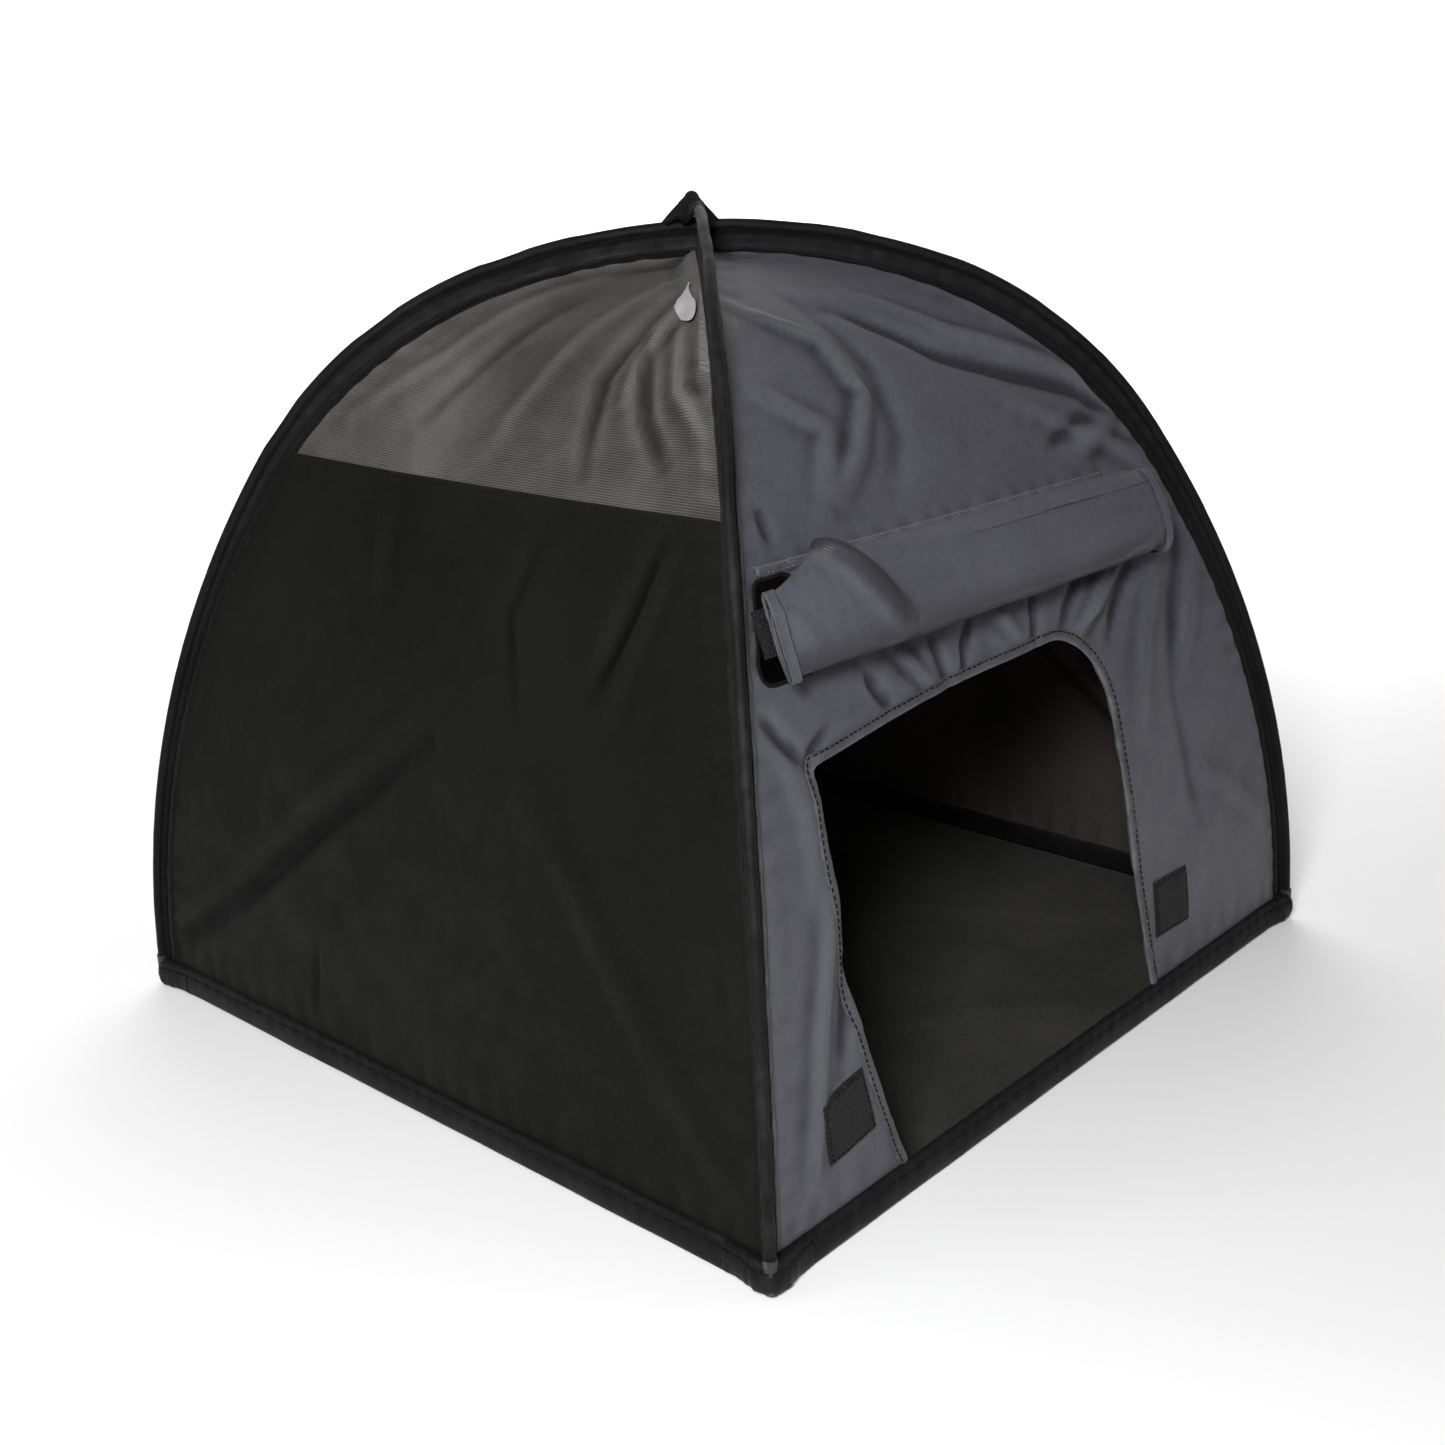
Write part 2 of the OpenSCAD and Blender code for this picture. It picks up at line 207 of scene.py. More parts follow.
# ---------------------------------------------------------------- arches and walls
class Arch:
    """Three tangent arcs a side in an upright plane (u, z): foot, shoulder and crown."""

    def __init__(self, foot, high):
        t1, t2, r2 = FOOT_ANGLE, SHOULDER_ANGLE, SHOULDER_R
        system = [[1 - math.cos(t1), math.cos(t2)], [math.sin(t1), 1 - math.sin(t2)]]
        rest = [foot - r2 * (math.cos(t1) - math.cos(t2)), high - r2 * (math.sin(t2) - math.sin(t1))]
        r1, r3 = np.linalg.solve(system, rest)
        c1 = np.array([foot - r1, 0.0])
        c2 = c1 + (r1 - r2) * np.array([math.cos(t1), math.sin(t1)])
        c3 = np.array([0.0, high - r3])
        self.arcs = [(c1, r1, 0.0, t1), (c2, r2, t1, t2), (c3, r3, t2, math.pi / 2)]
        self.half = sum(r * (b - a) for _, r, a, b in self.arcs)

    def at(self, run):
        """u, z and the outward normal at a distance run along the arch from its left (-u) foot."""
        run = np.asarray(run, float)
        left = run < self.half
        back = np.where(left, run, 2 * self.half - run)
        u, z, nu, nz = (np.zeros_like(run) for _ in range(4))
        start = 0.0
        for i, (c, r, a, b) in enumerate(self.arcs):
            end = start + r * (b - a)
            here = (back >= start if i else back > -1) & ((back < end) if i < 2 else back > -1)
            t = a + (back - start) / r
            u = np.where(here, c[0] + r * np.cos(t), u)
            z = np.where(here, c[1] + r * np.sin(t), z)
            nu, nz = np.where(here, np.cos(t), nu), np.where(here, np.sin(t), nz)
            start = end
        sign = np.where(left, -1.0, 1.0)
        return sign * u, z, sign * nu, nz


WALL_ARCH = Arch(WALL_FOOT, WALL_TOP)
_u, _z, _, _ = WALL_ARCH.at(np.linspace(0, WALL_ARCH.half - 1e-9, 3000))
_a = -_u / math.sqrt(2)
_s = np.concatenate([[0], np.cumsum(np.hypot(np.diff(_a), np.diff(_z)))])
_na, _nz = np.gradient(_z, _s), -np.gradient(_a, _s)


def s_of(z):
    return np.interp(z, _z, _s)


def pinches(w):
    """Gathers of the stitched line that holds the door flap, 0 to 1, at w along the wall."""
    return 0.5 + 0.5 * np.sin(ALL_ROUND * w / 0.0155 + 2.4 * flat_noise(w, 0.03, 5))


def seam_height(w):
    """Height of the stitched line that holds the door flap, at w along the front wall."""
    return SEAM_Z - (w - ROLL_MID) * math.tan(ROLL_LEAN * math.cos(ROLL_TILT))


def z_of(s):
    return np.interp(s, _s, _z)


def a_of(s):
    return np.interp(s, _s, _a)


TOP_S = float(_s[-1])
SIDES = {"front": lambda o, w: (w, -o), "right": lambda o, w: (o, w),
         "back": lambda o, w: (-w, o), "left": lambda o, w: (-o, -w)}


def surface(side, w, s, off=0.0):
    """A point of a wall's plain curved surface, w along it, s up its profile and off out of it."""
    w, s, off = np.broadcast_arrays(np.asarray(w, float), np.asarray(s, float), np.asarray(off, float))
    out = np.interp(s, _s, _a) + np.interp(s, _s, _na) * off
    high = np.interp(s, _s, _z) + np.interp(s, _s, _nz) * off
    x, y = SIDES[side](out, w)
    return np.stack([x, y, high], axis=-1)


# Creases of each wall, as (points (w, z) in mm, height in mm, width in mm)
CREASES = {
    "front": [
        ([(-55, 325), (-32, 310), (-31, 290), (-50, 273), (-72, 260)], 2.6, 6),
        ([(-20, 330), (-14, 300), (-22, 275), (-40, 258)], -1.6, 8),
        ([(-7, 321), (32, 301), (75, 286), (111, 274), (146, 252)], -3.4, 7),
        ([(12, 324), (50, 306), (92, 290), (122, 277)], 1.6, 5),
        ([(130, 262), (86, 250)], 2.2, 5),
        ([(112, 266), (70, 256)], -1.4, 4),
        ([(-118, 264), (-119, 250)], -1.4, 3),
        ([(44, 182), (60, 188), (78, 197), (98, 207)], 1.9, 2.4),
        ([(-136, 140), (-150, 105), (-158, 84), (-167, 48), (-173, 18)], 2.0, 5.5),
        ([(-132, 122), (-142, 86), (-149, 66)], -1.6, 5),
        ([(-178, 208), (-172, 160), (-176, 110)], 1.0, 6),
        ([(-90, 300), (-62, 282), (-84, 256)], 1.6, 7),
        ([(60, 276), (96, 258), (140, 236)], 1.5, 6),
        ([(-92, 199), (-84, 184)], -2.0, 3.5),
        ([(-74, 204), (-55, 184)], 1.6, 4),
        ([(-50, 205), (-47, 182)], -1.6, 3.5),
        ([(-21, 204), (-36, 184)], -1.8, 3.5),
        ([(-8, 205), (6, 186)], 1.2, 4),
        ([(22, 205), (14, 183)], -1.5, 3.5),
        ([(82, 206), (50, 183)], 2.2, 4.5),
        ([(62, 207), (36, 186)], -1.6, 4),
        ([(-158, 203), (-137, 176)], -2.0, 4),
        ([(-150, 192), (-143, 160), (-147, 120)], 1.0, 7),
        ([(-122, 186), (-133, 180), (-137, 168)], -1.6, 2.6),
        ([(102, 204), (70, 176)], -2.0, 5),
        ([(122, 206), (96, 170), (78, 130)], 1.8, 8),
        ([(154, 218), (128, 180), (112, 140)], -1.6, 8),
        ([(150, 190), (122, 150)], 1.2, 7),
        ([(112, 140), (118, 78)], -1.0, 6),
        ([(176, 60), (140, 90), (112, 104)], 1.0, 7),
    ],
    "left": [
        ([(-196, 18), (-133, 59), (-78, 104), (-4, 161)], -3.0, 7),
        ([(-196, 26), (-130, 74), (-74, 122), (0, 182)], 1.8, 8),
        ([(104, 250), (84, 195)], -2.6, 6),
        ([(112, 250), (96, 190)], 1.4, 5),
        ([(-71, 56), (-73, 16)], -1.2, 2.5),
        ([(190, 22), (120, 90), (60, 150)], 1.4, 9),
        ([(40, 250), (30, 215), (44, 180)], -1.2, 6),
        ([(-60, 250), (-48, 210)], 1.2, 6),
        ([(56, 336), (50, 312), (55, 296)], 2.0, 4),
        ([(40, 332), (36, 304), (44, 285), (50, 270)], -1.8, 5),
        ([(60, 322), (84, 300), (110, 288), (120, 275)], 2.4, 5),
        ([(44, 318), (70, 292), (92, 276)], -2.0, 5),
        ([(20, 334), (4, 300), (-8, 272)], 1.4, 7),
        ([(-14, 332), (-40, 300), (-60, 276)], -1.4, 7),
        ([(-20, 336), (-60, 305), (-98, 280)], 1.2, 6),
    ],
    "right": [
        ([(-192, 20), (-120, 80), (-40, 150)], -2.4, 7),
        ([(190, 24), (130, 70), (70, 130)], 1.8, 8),
        ([(-100, 250), (-84, 196)], 1.6, 5),
        ([(70, 250), (56, 206)], -1.6, 6),
        ([(-20, 334), (-50, 302), (-80, 278)], 1.6, 6),
        ([(24, 334), (48, 306), (86, 280)], -1.6, 6),
        ([(0, 330), (-6, 290)], 1.2, 5),
    ],
    "back": [
        ([(-192, 20), (-120, 86), (-50, 140)], -2.2, 7),
        ([(190, 24), (116, 96), (40, 170)], 2.0, 8),
        ([(-20, 334), (-44, 290), (-52, 230)], 1.8, 7),
        ([(30, 330), (66, 290), (110, 262)], -1.8, 6),
        ([(-120, 262), (-84, 214), (-70, 170)], 1.4, 7),
        ([(60, 200), (54, 140), (70, 90)], -1.2, 8),
    ],
}
SAG = {"front": 2.0, "left": 5.0, "right": 5.0, "back": 5.0}
FOLDS = {"front": 1.75, "left": 1.5, "right": 1.3, "back": 1.3}
SEEDS = {"front": 11, "left": 23, "right": 37, "back": 51}


def relief(side, w, s):
    """How far the slack cloth stands out of the plain surface: sag, creases and puckers at its sewn edges."""
    w, s = np.broadcast_arrays(np.asarray(w, float), np.asarray(s, float))
    a, z, seed = a_of(s), z_of(s), SEEDS[side]
    from_edge = a - np.abs(w) - EDGE
    held = smooth(from_edge / 0.016) * smooth((z - HEM_H) / 0.022)
    r = -SAG[side] * mm * (1 - np.clip(w / np.maximum(a, 1e-4), -1, 1) ** 2) * smooth((z - HEM_H) / 0.10)
    r = r + creased(w, s, CREASES[side], s_of, FOLDS[side], 0.85)
    r = r + 0.9 * mm * noise(w, s, 0.055, seed) + 0.35 * mm * noise(w, s, 0.021, seed + 1)
    r = r + 0.10 * mm * noise(w, s, 0.007, seed + 2)
    r = r * held
    # gathers that run in from the sewn side edges
    gather = np.sin(ALL_ROUND * s / 0.0125 + 2.2 * flat_noise(s, 0.03, seed + 3))
    fade = np.clip(from_edge / 0.005, 0, None) * np.exp(1 - np.clip(from_edge, 0, None) / 0.005)
    r = r + 0.34 * mm * gather * fade * (0.55 + 0.45 * noise(s, w, 0.04, seed + 4))
    # and up from the base hem
    rise = np.clip((z - HEM_H) / 0.006, 0, None)
    gather = np.sin(ALL_ROUND * w / 0.015 + 2.5 * flat_noise(w, 0.04, seed + 5))
    r = r + 0.34 * mm * gather * rise * np.exp(1 - rise) * smooth(from_edge / 0.01)
    if side == "front":
        # pinches under and over the line of stitching that holds the flap
        line = s - s_of(seam_height(w))
        span = smooth((w + 0.130) / 0.01) * smooth((0.110 - w) / 0.01)
        r = r - 0.9 * mm * pinches(w) * span * bell(line, 0.006)
        # the lintel, left slack between the roll and the doorway
        band = bell(z - 0.194, 0.011) * smooth((w + 0.136) / 0.02) * smooth((0.08 - w) / 0.02)
        r = r + band * (1.6 * mm * noise(w, s, 0.023, 71) + 0.5 * mm * noise(w, s, 0.008, 72) + 0.8 * mm)
    return r


def wall(side, w, s, off=0.0):
    return surface(side, w, s, np.asarray(off, float) + relief(side, w, s))


# ---------------------------------------------------------------- doorway and slot outlines, (w, z)
def left_jamb(z):
    narrowest = 0.115
    low, high = 0.018 * ((narrowest - z) / 0.089) ** 2, 0.006 * ((z - narrowest) / 0.067) ** 2
    return -DOOR_LEFT + np.where(z < narrowest, low, high)


def right_jamb(z):
    return DOOR_RIGHT + 0.008 * (np.clip(0.100 - z, 0, None) / 0.075) ** 2


def doorway_path():
    """The edge of the doorway, from the hem up the left jamb, over and down the right one, in (w, s)."""
    up = np.linspace(HEM_H - 0.0015, DOOR_TOP - 0.0075, 24)
    left = [(float(left_jamb(z)), z) for z in up]
    left = left + [(-0.088, DOOR_TOP - 0.0038), (-0.045, DOOR_TOP - 0.0010), (0.0, DOOR_TOP)]
    left = list(rounded(left, 0.006))[:-1]
    turn_at = np.linspace(math.pi / 2, 0, 14)
    arc = [(DOOR_RIGHT - DOOR_CORNER * (1 - math.cos(q)), DOOR_TOP - DOOR_CORNER * (1 - math.sin(q)))
           for q in turn_at]
    fall = np.linspace(DOOR_TOP - DOOR_CORNER - 0.008, HEM_H - 0.0015, 20)
    down = [(float(right_jamb(z)), z) for z in fall]
    line = np.array(left + arc + down)
    return resample(np.stack([line[:, 0], s_of(line[:, 1])], axis=1), 0.002)


SLOT = [(-0.149, 0.207), (-0.118, 0.207), (-0.114, 0.240), (-0.135, 0.240)]
SLOT_PATH = resample(rounded([(w, float(s_of(z))) for w, z in SLOT], 0.006, True), 0.002, True)
DOOR_PATH = doorway_path()


def left_of(path, closed=False):
    """Unit left-hand normal along a path in the plane."""
    if closed:
        step = np.roll(path, -1, axis=0) - np.roll(path, 1, axis=0)
    else:
        step = np.gradient(path, axis=0)
    tangent = step / np.linalg.norm(step, axis=1)[:, None]
    return np.stack([-tangent[:, 1], tangent[:, 0]], axis=1)


# ---------------------------------------------------------------- mesh building
class Shape:
    """Collects vertices, faces, UVs in metres and wear-and-shade values (rubbed wear above zero, painted
    shade below it), then makes one mesh object.
    """

    def __init__(self):
        self.co, self.uv, self.wear_and_shade, self.faces, self.mat, self.count = [], [], [], [], [], 0

    def add(self, co, faces, uv=None, wear_and_shade=None, mat=0):
        co = np.asarray(co, float).reshape(-1, 3)
        self.co.append(co)
        self.uv.append(np.zeros((len(co), 2)) if uv is None else np.asarray(uv, float).reshape(-1, 2))
        self.wear_and_shade.append(np.zeros(len(co)) if wear_and_shade is None else np.asarray(wear_and_shade, float).ravel())
        for block in faces if isinstance(faces, list) else [faces]:
            block = np.asarray(block, int) + self.count
            self.faces.append(block)
            self.mat.append(np.full(len(block), mat))
        self.count += len(co)
        return self

    def make(self, name, materials, outward=False):
        mesh = bpy.data.meshes.new(name)
        co = np.vstack(self.co)
        loops = np.concatenate([f.ravel() for f in self.faces])
        totals = np.concatenate([np.full(len(f), f.shape[1]) for f in self.faces])
        mesh.vertices.add(len(co))
        mesh.vertices.foreach_set("co", co.ravel())
        mesh.loops.add(len(loops))
        mesh.loops.foreach_set("vertex_index", loops)
        mesh.polygons.add(len(totals))
        mesh.polygons.foreach_set("loop_start", np.concatenate([[0], np.cumsum(totals)[:-1]]))
        mesh.polygons.foreach_set("material_index", np.concatenate(self.mat).astype(np.int32))
        mesh.update(calc_edges=True)
        mesh.validate()
        layer = mesh.uv_layers.new(name="UVMap")
        layer.data.foreach_set("uv", np.vstack(self.uv)[loops].ravel())
        wear_and_shade = mesh.attributes.new("wear_and_shade", "FLOAT", "POINT")
        wear_and_shade.data.foreach_set("value", np.concatenate(self.wear_and_shade).astype(np.float32))
        if outward:
            bm = bmesh.new()
            bm.from_mesh(mesh)
            bmesh.ops.recalc_face_normals(bm, faces=bm.faces)
            bm.to_mesh(mesh)
            bm.free()
        mesh.polygons.foreach_set("use_smooth", np.ones(len(mesh.polygons), bool))
        for m in materials:
            mesh.materials.append(m)
        obj = bpy.data.objects.new(name, mesh)
        bpy.context.scene.collection.objects.link(obj)
        return obj


def grid_faces(rows, cols, wrap_rows=False, wrap_cols=False):
    i, j = np.meshgrid(np.arange(rows if wrap_rows else rows - 1),
                       np.arange(cols if wrap_cols else cols - 1), indexing="ij")
    i2, j2 = (i + 1) % rows, (j + 1) % cols
    return np.stack([i * cols + j, i * cols + j2, i2 * cols + j2, i2 * cols + j], axis=-1).reshape(-1, 4)


def tube(shape, rings, around, closed=False, wear_and_shade=None):
    """Adds a swept closed section: rings is (stations, points round, 3), around the section's girth."""
    n, m = rings.shape[:2]
    run = run_along(rings.mean(axis=1))
    uv = pairs(run[:, None], np.linspace(0, around, m)[None, :]).reshape(-1, 2)
    co, faces = rings.reshape(-1, 3), [grid_faces(n, m, closed, True)]
    wear_and_shade_values = None if wear_and_shade is None else np.broadcast_to(wear_and_shade, (n, m)).ravel()
    if not closed:
        middle = np.stack([rings[0].mean(axis=0), rings[-1].mean(axis=0)])
        co = np.vstack([co, middle])
        uv = np.vstack([uv, [[0, 0], [run[-1], 0]]])
        if wear_and_shade_values is not None:
            wear_and_shade_values = np.concatenate([wear_and_shade_values, [0, 0]])
        k = np.arange(m)
        faces.append(np.stack([k, np.full(m, n * m), (k + 1) % m], axis=1))
        faces.append(np.stack([(n - 1) * m + k, (n - 1) * m + (k + 1) % m, np.full(m, n * m + 1)], axis=1))
    shape.add(co, faces, uv, wear_and_shade_values)


THREAD_R = 0.00030


def stitches(shape, line, normals, pitch=0.0029, length=0.0021):
    """A row of thread stitches lying along a line on a surface, in the shape's second material."""
    run = run_along(line)
    pos = resample(line, pitch)
    n = len(pos)
    at = np.linspace(0, run[-1], n)
    nor = unit(np.stack([np.interp(at, run, normals[:, k]) for k in range(3)], axis=1))
    tan = unit(np.gradient(pos, axis=0))
    side = np.cross(nor, tan)
    stations = np.array([-0.5, -0.36, 0.0, 0.36, 0.5]) * length
    girth = np.array([0.25, 0.9, 1.0, 0.9, 0.25]) * THREAD_R
    dip = np.array([-0.9, -0.1, 0.35, -0.1, -0.9]) * THREAD_R
    stitch_sides = 6
    points = len(stations) * stitch_sides
    angle = np.linspace(0, ALL_ROUND, stitch_sides, endpoint=False)
    jitter = np.random.RandomState(len(pos)).uniform(-1, 1, (n, 2))
    pos = pos + tan * (jitter[:, :1] * 0.08 * pitch) + side * (jitter[:, 1:] * 0.00008)
    co = (pos[:, None, None] + tan[:, None, None] * stations[None, :, None, None]
          + nor[:, None, None] * (dip[:, None] + girth[:, None] * np.sin(angle))[None, :, :, None]
          + side[:, None, None] * (girth[:, None] * np.cos(angle) * 1.15)[None, :, :, None])
    first = (np.arange(n) * points)[:, None]
    block = grid_faces(len(stations), stitch_sides, False, True)
    end = np.arange(stitch_sides)
    faces = [(block[None] + first[..., None]).reshape(-1, 4), end[None, ::-1] + first,
             end[None] + points - stitch_sides + first]
    uv = np.zeros((n * points, 2))
    uv[:, 0] = np.repeat(at, points)
    shape.add(co.reshape(-1, 3), faces, uv, None, 1)


def cloth_region(outer, holes, step):
    """Even triangles over an outline with holes, in (w, s)."""
    loops = [resample(outer, step, True)] + [resample(h, step, True) for h in holes]
    rim = np.vstack(loops)
    lo, hi = rim.min(axis=0), rim.max(axis=0)
    rows = np.arange(lo[1], hi[1], step * math.sqrt(3) / 2)
    pts = []
    for k, y in enumerate(rows):
        xs = np.arange(lo[0] + (step / 2 if k % 2 else 0), hi[0], step)
        pts.append(np.stack([xs, np.full(len(xs), y)], axis=1))
    pts = np.vstack(pts)
    keep = inside(loops[0], pts[:, 0], pts[:, 1])
    for h in loops[1:]:
        keep &= ~inside(h, pts[:, 0], pts[:, 1])
    pts = pts[keep]
    near = np.array([np.min((rim[:, 0] - x) ** 2 + (rim[:, 1] - y) ** 2) for x, y in pts])
    pts = pts[near > (0.6 * step) ** 2]
    edges, first = [], 0
    for loop in loops:
        n = len(loop)
        edges += [(first + i, first + (i + 1) % n) for i in range(n)]
        first += n
    every = np.vstack([rim, pts])
    co, _, faces, *_ = delaunay_2d_cdt([Vector(p) for p in every], edges, [], 0, 1e-7)
    co = np.array([tuple(p) for p in co])
    tri = np.array([f for f in faces if len(f) == 3])
    mid = co[tri].mean(axis=1)
    ok = inside(loops[0], mid[:, 0], mid[:, 1])
    for h in loops[1:]:
        ok &= ~inside(h, mid[:, 0], mid[:, 1])
    tri = tri[ok]
    a, b, c = co[tri[:, 0]], co[tri[:, 1]], co[tri[:, 2]]
    area = (b[:, 0] - a[:, 0]) * (c[:, 1] - a[:, 1]) - (b[:, 1] - a[:, 1]) * (c[:, 0] - a[:, 0])
    tri = tri[np.abs(area) > 1e-12]
    tri[area[np.abs(area) > 1e-12] < 0] = tri[area[np.abs(area) > 1e-12] < 0][:, ::-1]
    used = np.unique(tri)
    back = np.full(len(co), -1)
    back[used] = np.arange(len(used))
    return co[used], back[tri], float(np.abs(area).sum() / 2)


def solid(obj, thick, inner=1):
    """Gives a sheet its thickness, inward; inner picks the material of its inner face."""
    m = obj.modifiers.new("cloth_thickness", "SOLIDIFY")
    m.thickness = thick
    m.offset = -1.0
    m.use_even_offset = False
    m.material_offset = inner
    m.material_offset_rim = 0


# ---------------------------------------------------------------- materials
class Nodes:
    def __init__(self, name):
        self.material = bpy.data.materials.new(name)
        self.material.use_nodes = True
        self.tree = self.material.node_tree
        self.tree.nodes.clear()
        self.shader = self.add("ShaderNodeBsdfPrincipled")
        out = self.add("ShaderNodeOutputMaterial")
        self.link(self.shader.outputs[0], out.inputs[0])

    def add(self, kind, **values):
        node = self.tree.nodes.new(kind)
        for key, value in values.items():
            setattr(node, key, value)
        return node

    def link(self, a, b):
        self.tree.links.new(a, b)

    def math(self, how, a, b=0.0):
        node = self.add("ShaderNodeMath", operation=how)
        for k, v in enumerate((a, b)):
            if isinstance(v, (int, float)):
                node.inputs[k].default_value = v
            else:
                self.link(v, node.inputs[k])
        return node.outputs[0]

    def noise(self, scale, detail=3.0):
        node = self.add("ShaderNodeTexNoise")
        node.inputs["Scale"].default_value = scale
        node.inputs["Detail"].default_value = detail
        node.inputs["Roughness"].default_value = 0.55
        self.link(self.add("ShaderNodeTexCoord").outputs["Object"], node.inputs["Vector"])
        return node.outputs["Fac"]

    def mapped(self, value, lo, hi, to_lo, to_hi):
        node = self.add("ShaderNodeMapRange")
        self.link(value, node.inputs[0])
        for k, v in enumerate((lo, hi, to_lo, to_hi)):
            node.inputs[k + 1].default_value = v
        return node.outputs[0]

    def blotches(self, scale, detail, to_lo, to_hi, lo=0.3, hi=0.7):
        """Noise spread out between two values."""
        return self.mapped(self.noise(scale, detail), lo, hi, to_lo, to_hi)

    def threads(self, *pitches):
        """Waves along the two directions of the UVs, which are in metres."""
        split = self.add("ShaderNodeSeparateXYZ")
        self.link(self.add("ShaderNodeTexCoord").outputs["UV"], split.inputs[0])
        return [self.math("SINE", self.math("MULTIPLY", split.outputs[k], math.pi / pitch))
                for k, pitch in enumerate(pitches)]

    def mix(self, factor, a, b):
        node = self.add("ShaderNodeMix", data_type="RGBA", blend_type="MIX")
        for socket, v in ((node.inputs[0], factor), (node.inputs[6], a), (node.inputs[7], b)):
            if isinstance(v, (int, float)):
                socket.default_value = v
            elif isinstance(v, tuple):
                socket.default_value = (*v, 1.0)
            else:
                self.link(v, socket)
        return node.outputs[2]

    def bump(self, height, strength, distance, under=None):
        node = self.add("ShaderNodeBump")
        node.inputs["Strength"].default_value = strength
        node.inputs["Distance"].default_value = distance
        self.link(height, node.inputs["Height"])
        if under is not None:
            self.link(under, node.inputs["Normal"])
        return node.outputs[0]

    # the wear-and-shade attribute: rubbed wear above zero, painted shade below zero
    def wear_and_shade(self):
        return self.add("ShaderNodeAttribute", attribute_name="wear_and_shade").outputs["Fac"]

    def feed(self, **sources):
        for key, source in sources.items():
            self.link(source, self.shader.inputs[key.replace("_", " ")])

    def set(self, **values):
        for key, value in values.items():
            self.shader.inputs[key.replace("_", " ")].default_value = value


def tint(colour, share):
    return tuple(c * share for c in colour)


def cloth_material(name, deep, pale, worn, rough, sheen, coat=0.0, pitch=0.00045, crumple=0.0005,
                   patchy=9.0, specular=0.5):
    """Woven cloth: patchy colour, threads, fine crumple, painted shade where the wear-and-shade value is
    below zero (creases, the roll's underside), and duller rubbed edges where it is above.
    """
    n = Nodes(name)
    u, v = n.threads(pitch, pitch * 1.12)
    weave = n.math("MULTIPLY", u, v)
    colour = n.mix(n.blotches(patchy, 4.0, 0.0, 1.0, 0.32, 0.68), deep, pale)
    colour = n.mix(n.blotches(420.0, 2.0, 0.0, 0.30), colour, tint(pale, 1.5))
    colour = n.mix(n.mapped(weave, -1.0, 1.0, 0.0, 0.28), colour, tint(deep, 0.45))
    wear_and_shade = n.wear_and_shade()
    # painted shade: darker towards the deep colour where the wear-and-shade value is below zero
    colour = n.mix(n.mapped(wear_and_shade, -1.0, 0.0, 0.78, 0.0), colour, tint(deep, 0.2))
    rub = n.blotches(160.0, 3.0, 0.15, 1.0, 0.35, 0.7)
    rub = n.math("MULTIPLY", n.mapped(wear_and_shade, 0.0, 1.0, 0.0, 1.0), rub)
    folds = n.bump(n.noise(70.0, 4.0), 0.6, crumple)
    n.feed(Base_Color=n.mix(rub, colour, worn), Roughness=n.blotches(55.0, 3.0, *rough),
           Normal=n.bump(weave, 0.55, 0.00007, folds))
    n.set(Sheen_Weight=sheen, Sheen_Roughness=0.45, Coat_Weight=coat, Coat_Roughness=0.38,
          Specular_IOR_Level=specular)
    return n.material


def net_material(name, thread, shade, pitch=0.00085):
    """Knitted net: threads round open holes, which are a little higher than they are wide."""
    n = Nodes(name)
    u, v = (n.math("ABSOLUTE", wave) for wave in n.threads(pitch, pitch * 1.25))
    hole = n.math("MULTIPLY", n.mapped(u, 0.50, 0.72, 0.0, 1.0), n.mapped(v, 0.56, 0.78, 0.0, 1.0))
    colour = n.mix(n.blotches(14.0, 4.0, 0.0, 1.0, 0.35, 0.65), thread, shade)
    colour = n.mix(n.mapped(v, 0.0, 0.5, 0.55, 0.0), colour, tint(thread, 1.25))
    wear_and_shade = n.wear_and_shade()
    # painted shade: darker where the wear-and-shade value is below zero, in the net's creases; lighter on its
    # crease ridges
    colour = n.mix(n.mapped(wear_and_shade, -1.0, 0.0, 0.70, 0.0), colour, tint(shade, 0.2))
    colour = n.mix(n.mapped(wear_and_shade, 0.0, 0.2, 0.0, 0.5), colour, tint(thread, 1.6))
    see_through = n.math("MULTIPLY", hole, n.blotches(38.0, 3.0, 0.42, 0.62))
    n.feed(Base_Color=colour, Alpha=n.math("SUBTRACT", 1.0, see_through),
           Roughness=n.blotches(90.0, 2.0, 0.5, 0.7), Normal=n.bump(n.math("ADD", u, v), 0.4, 0.0001))
    n.set(Sheen_Weight=0.08, Sheen_Roughness=0.4, Specular_IOR_Level=0.1)
    return n.material


def thread_material(name, colour, sheen=0.3):
    """Twisted sewing thread."""
    n = Nodes(name)
    twist = n.add("ShaderNodeTexWave", wave_type="BANDS", bands_direction="DIAGONAL")
    twist.inputs["Scale"].default_value = 900.0
    n.link(n.add("ShaderNodeTexCoord").outputs["Object"], twist.inputs["Vector"])
    ply = twist.outputs["Fac"]
    n.feed(Base_Color=n.mix(ply, tint(colour, 0.6), colour), Normal=n.bump(ply, 0.5, 0.0001),
           Roughness=n.blotches(300.0, 3.0, 0.45, 0.65))
    n.set(Sheen_Weight=sheen, Specular_IOR_Level=sheen)
    return n.material


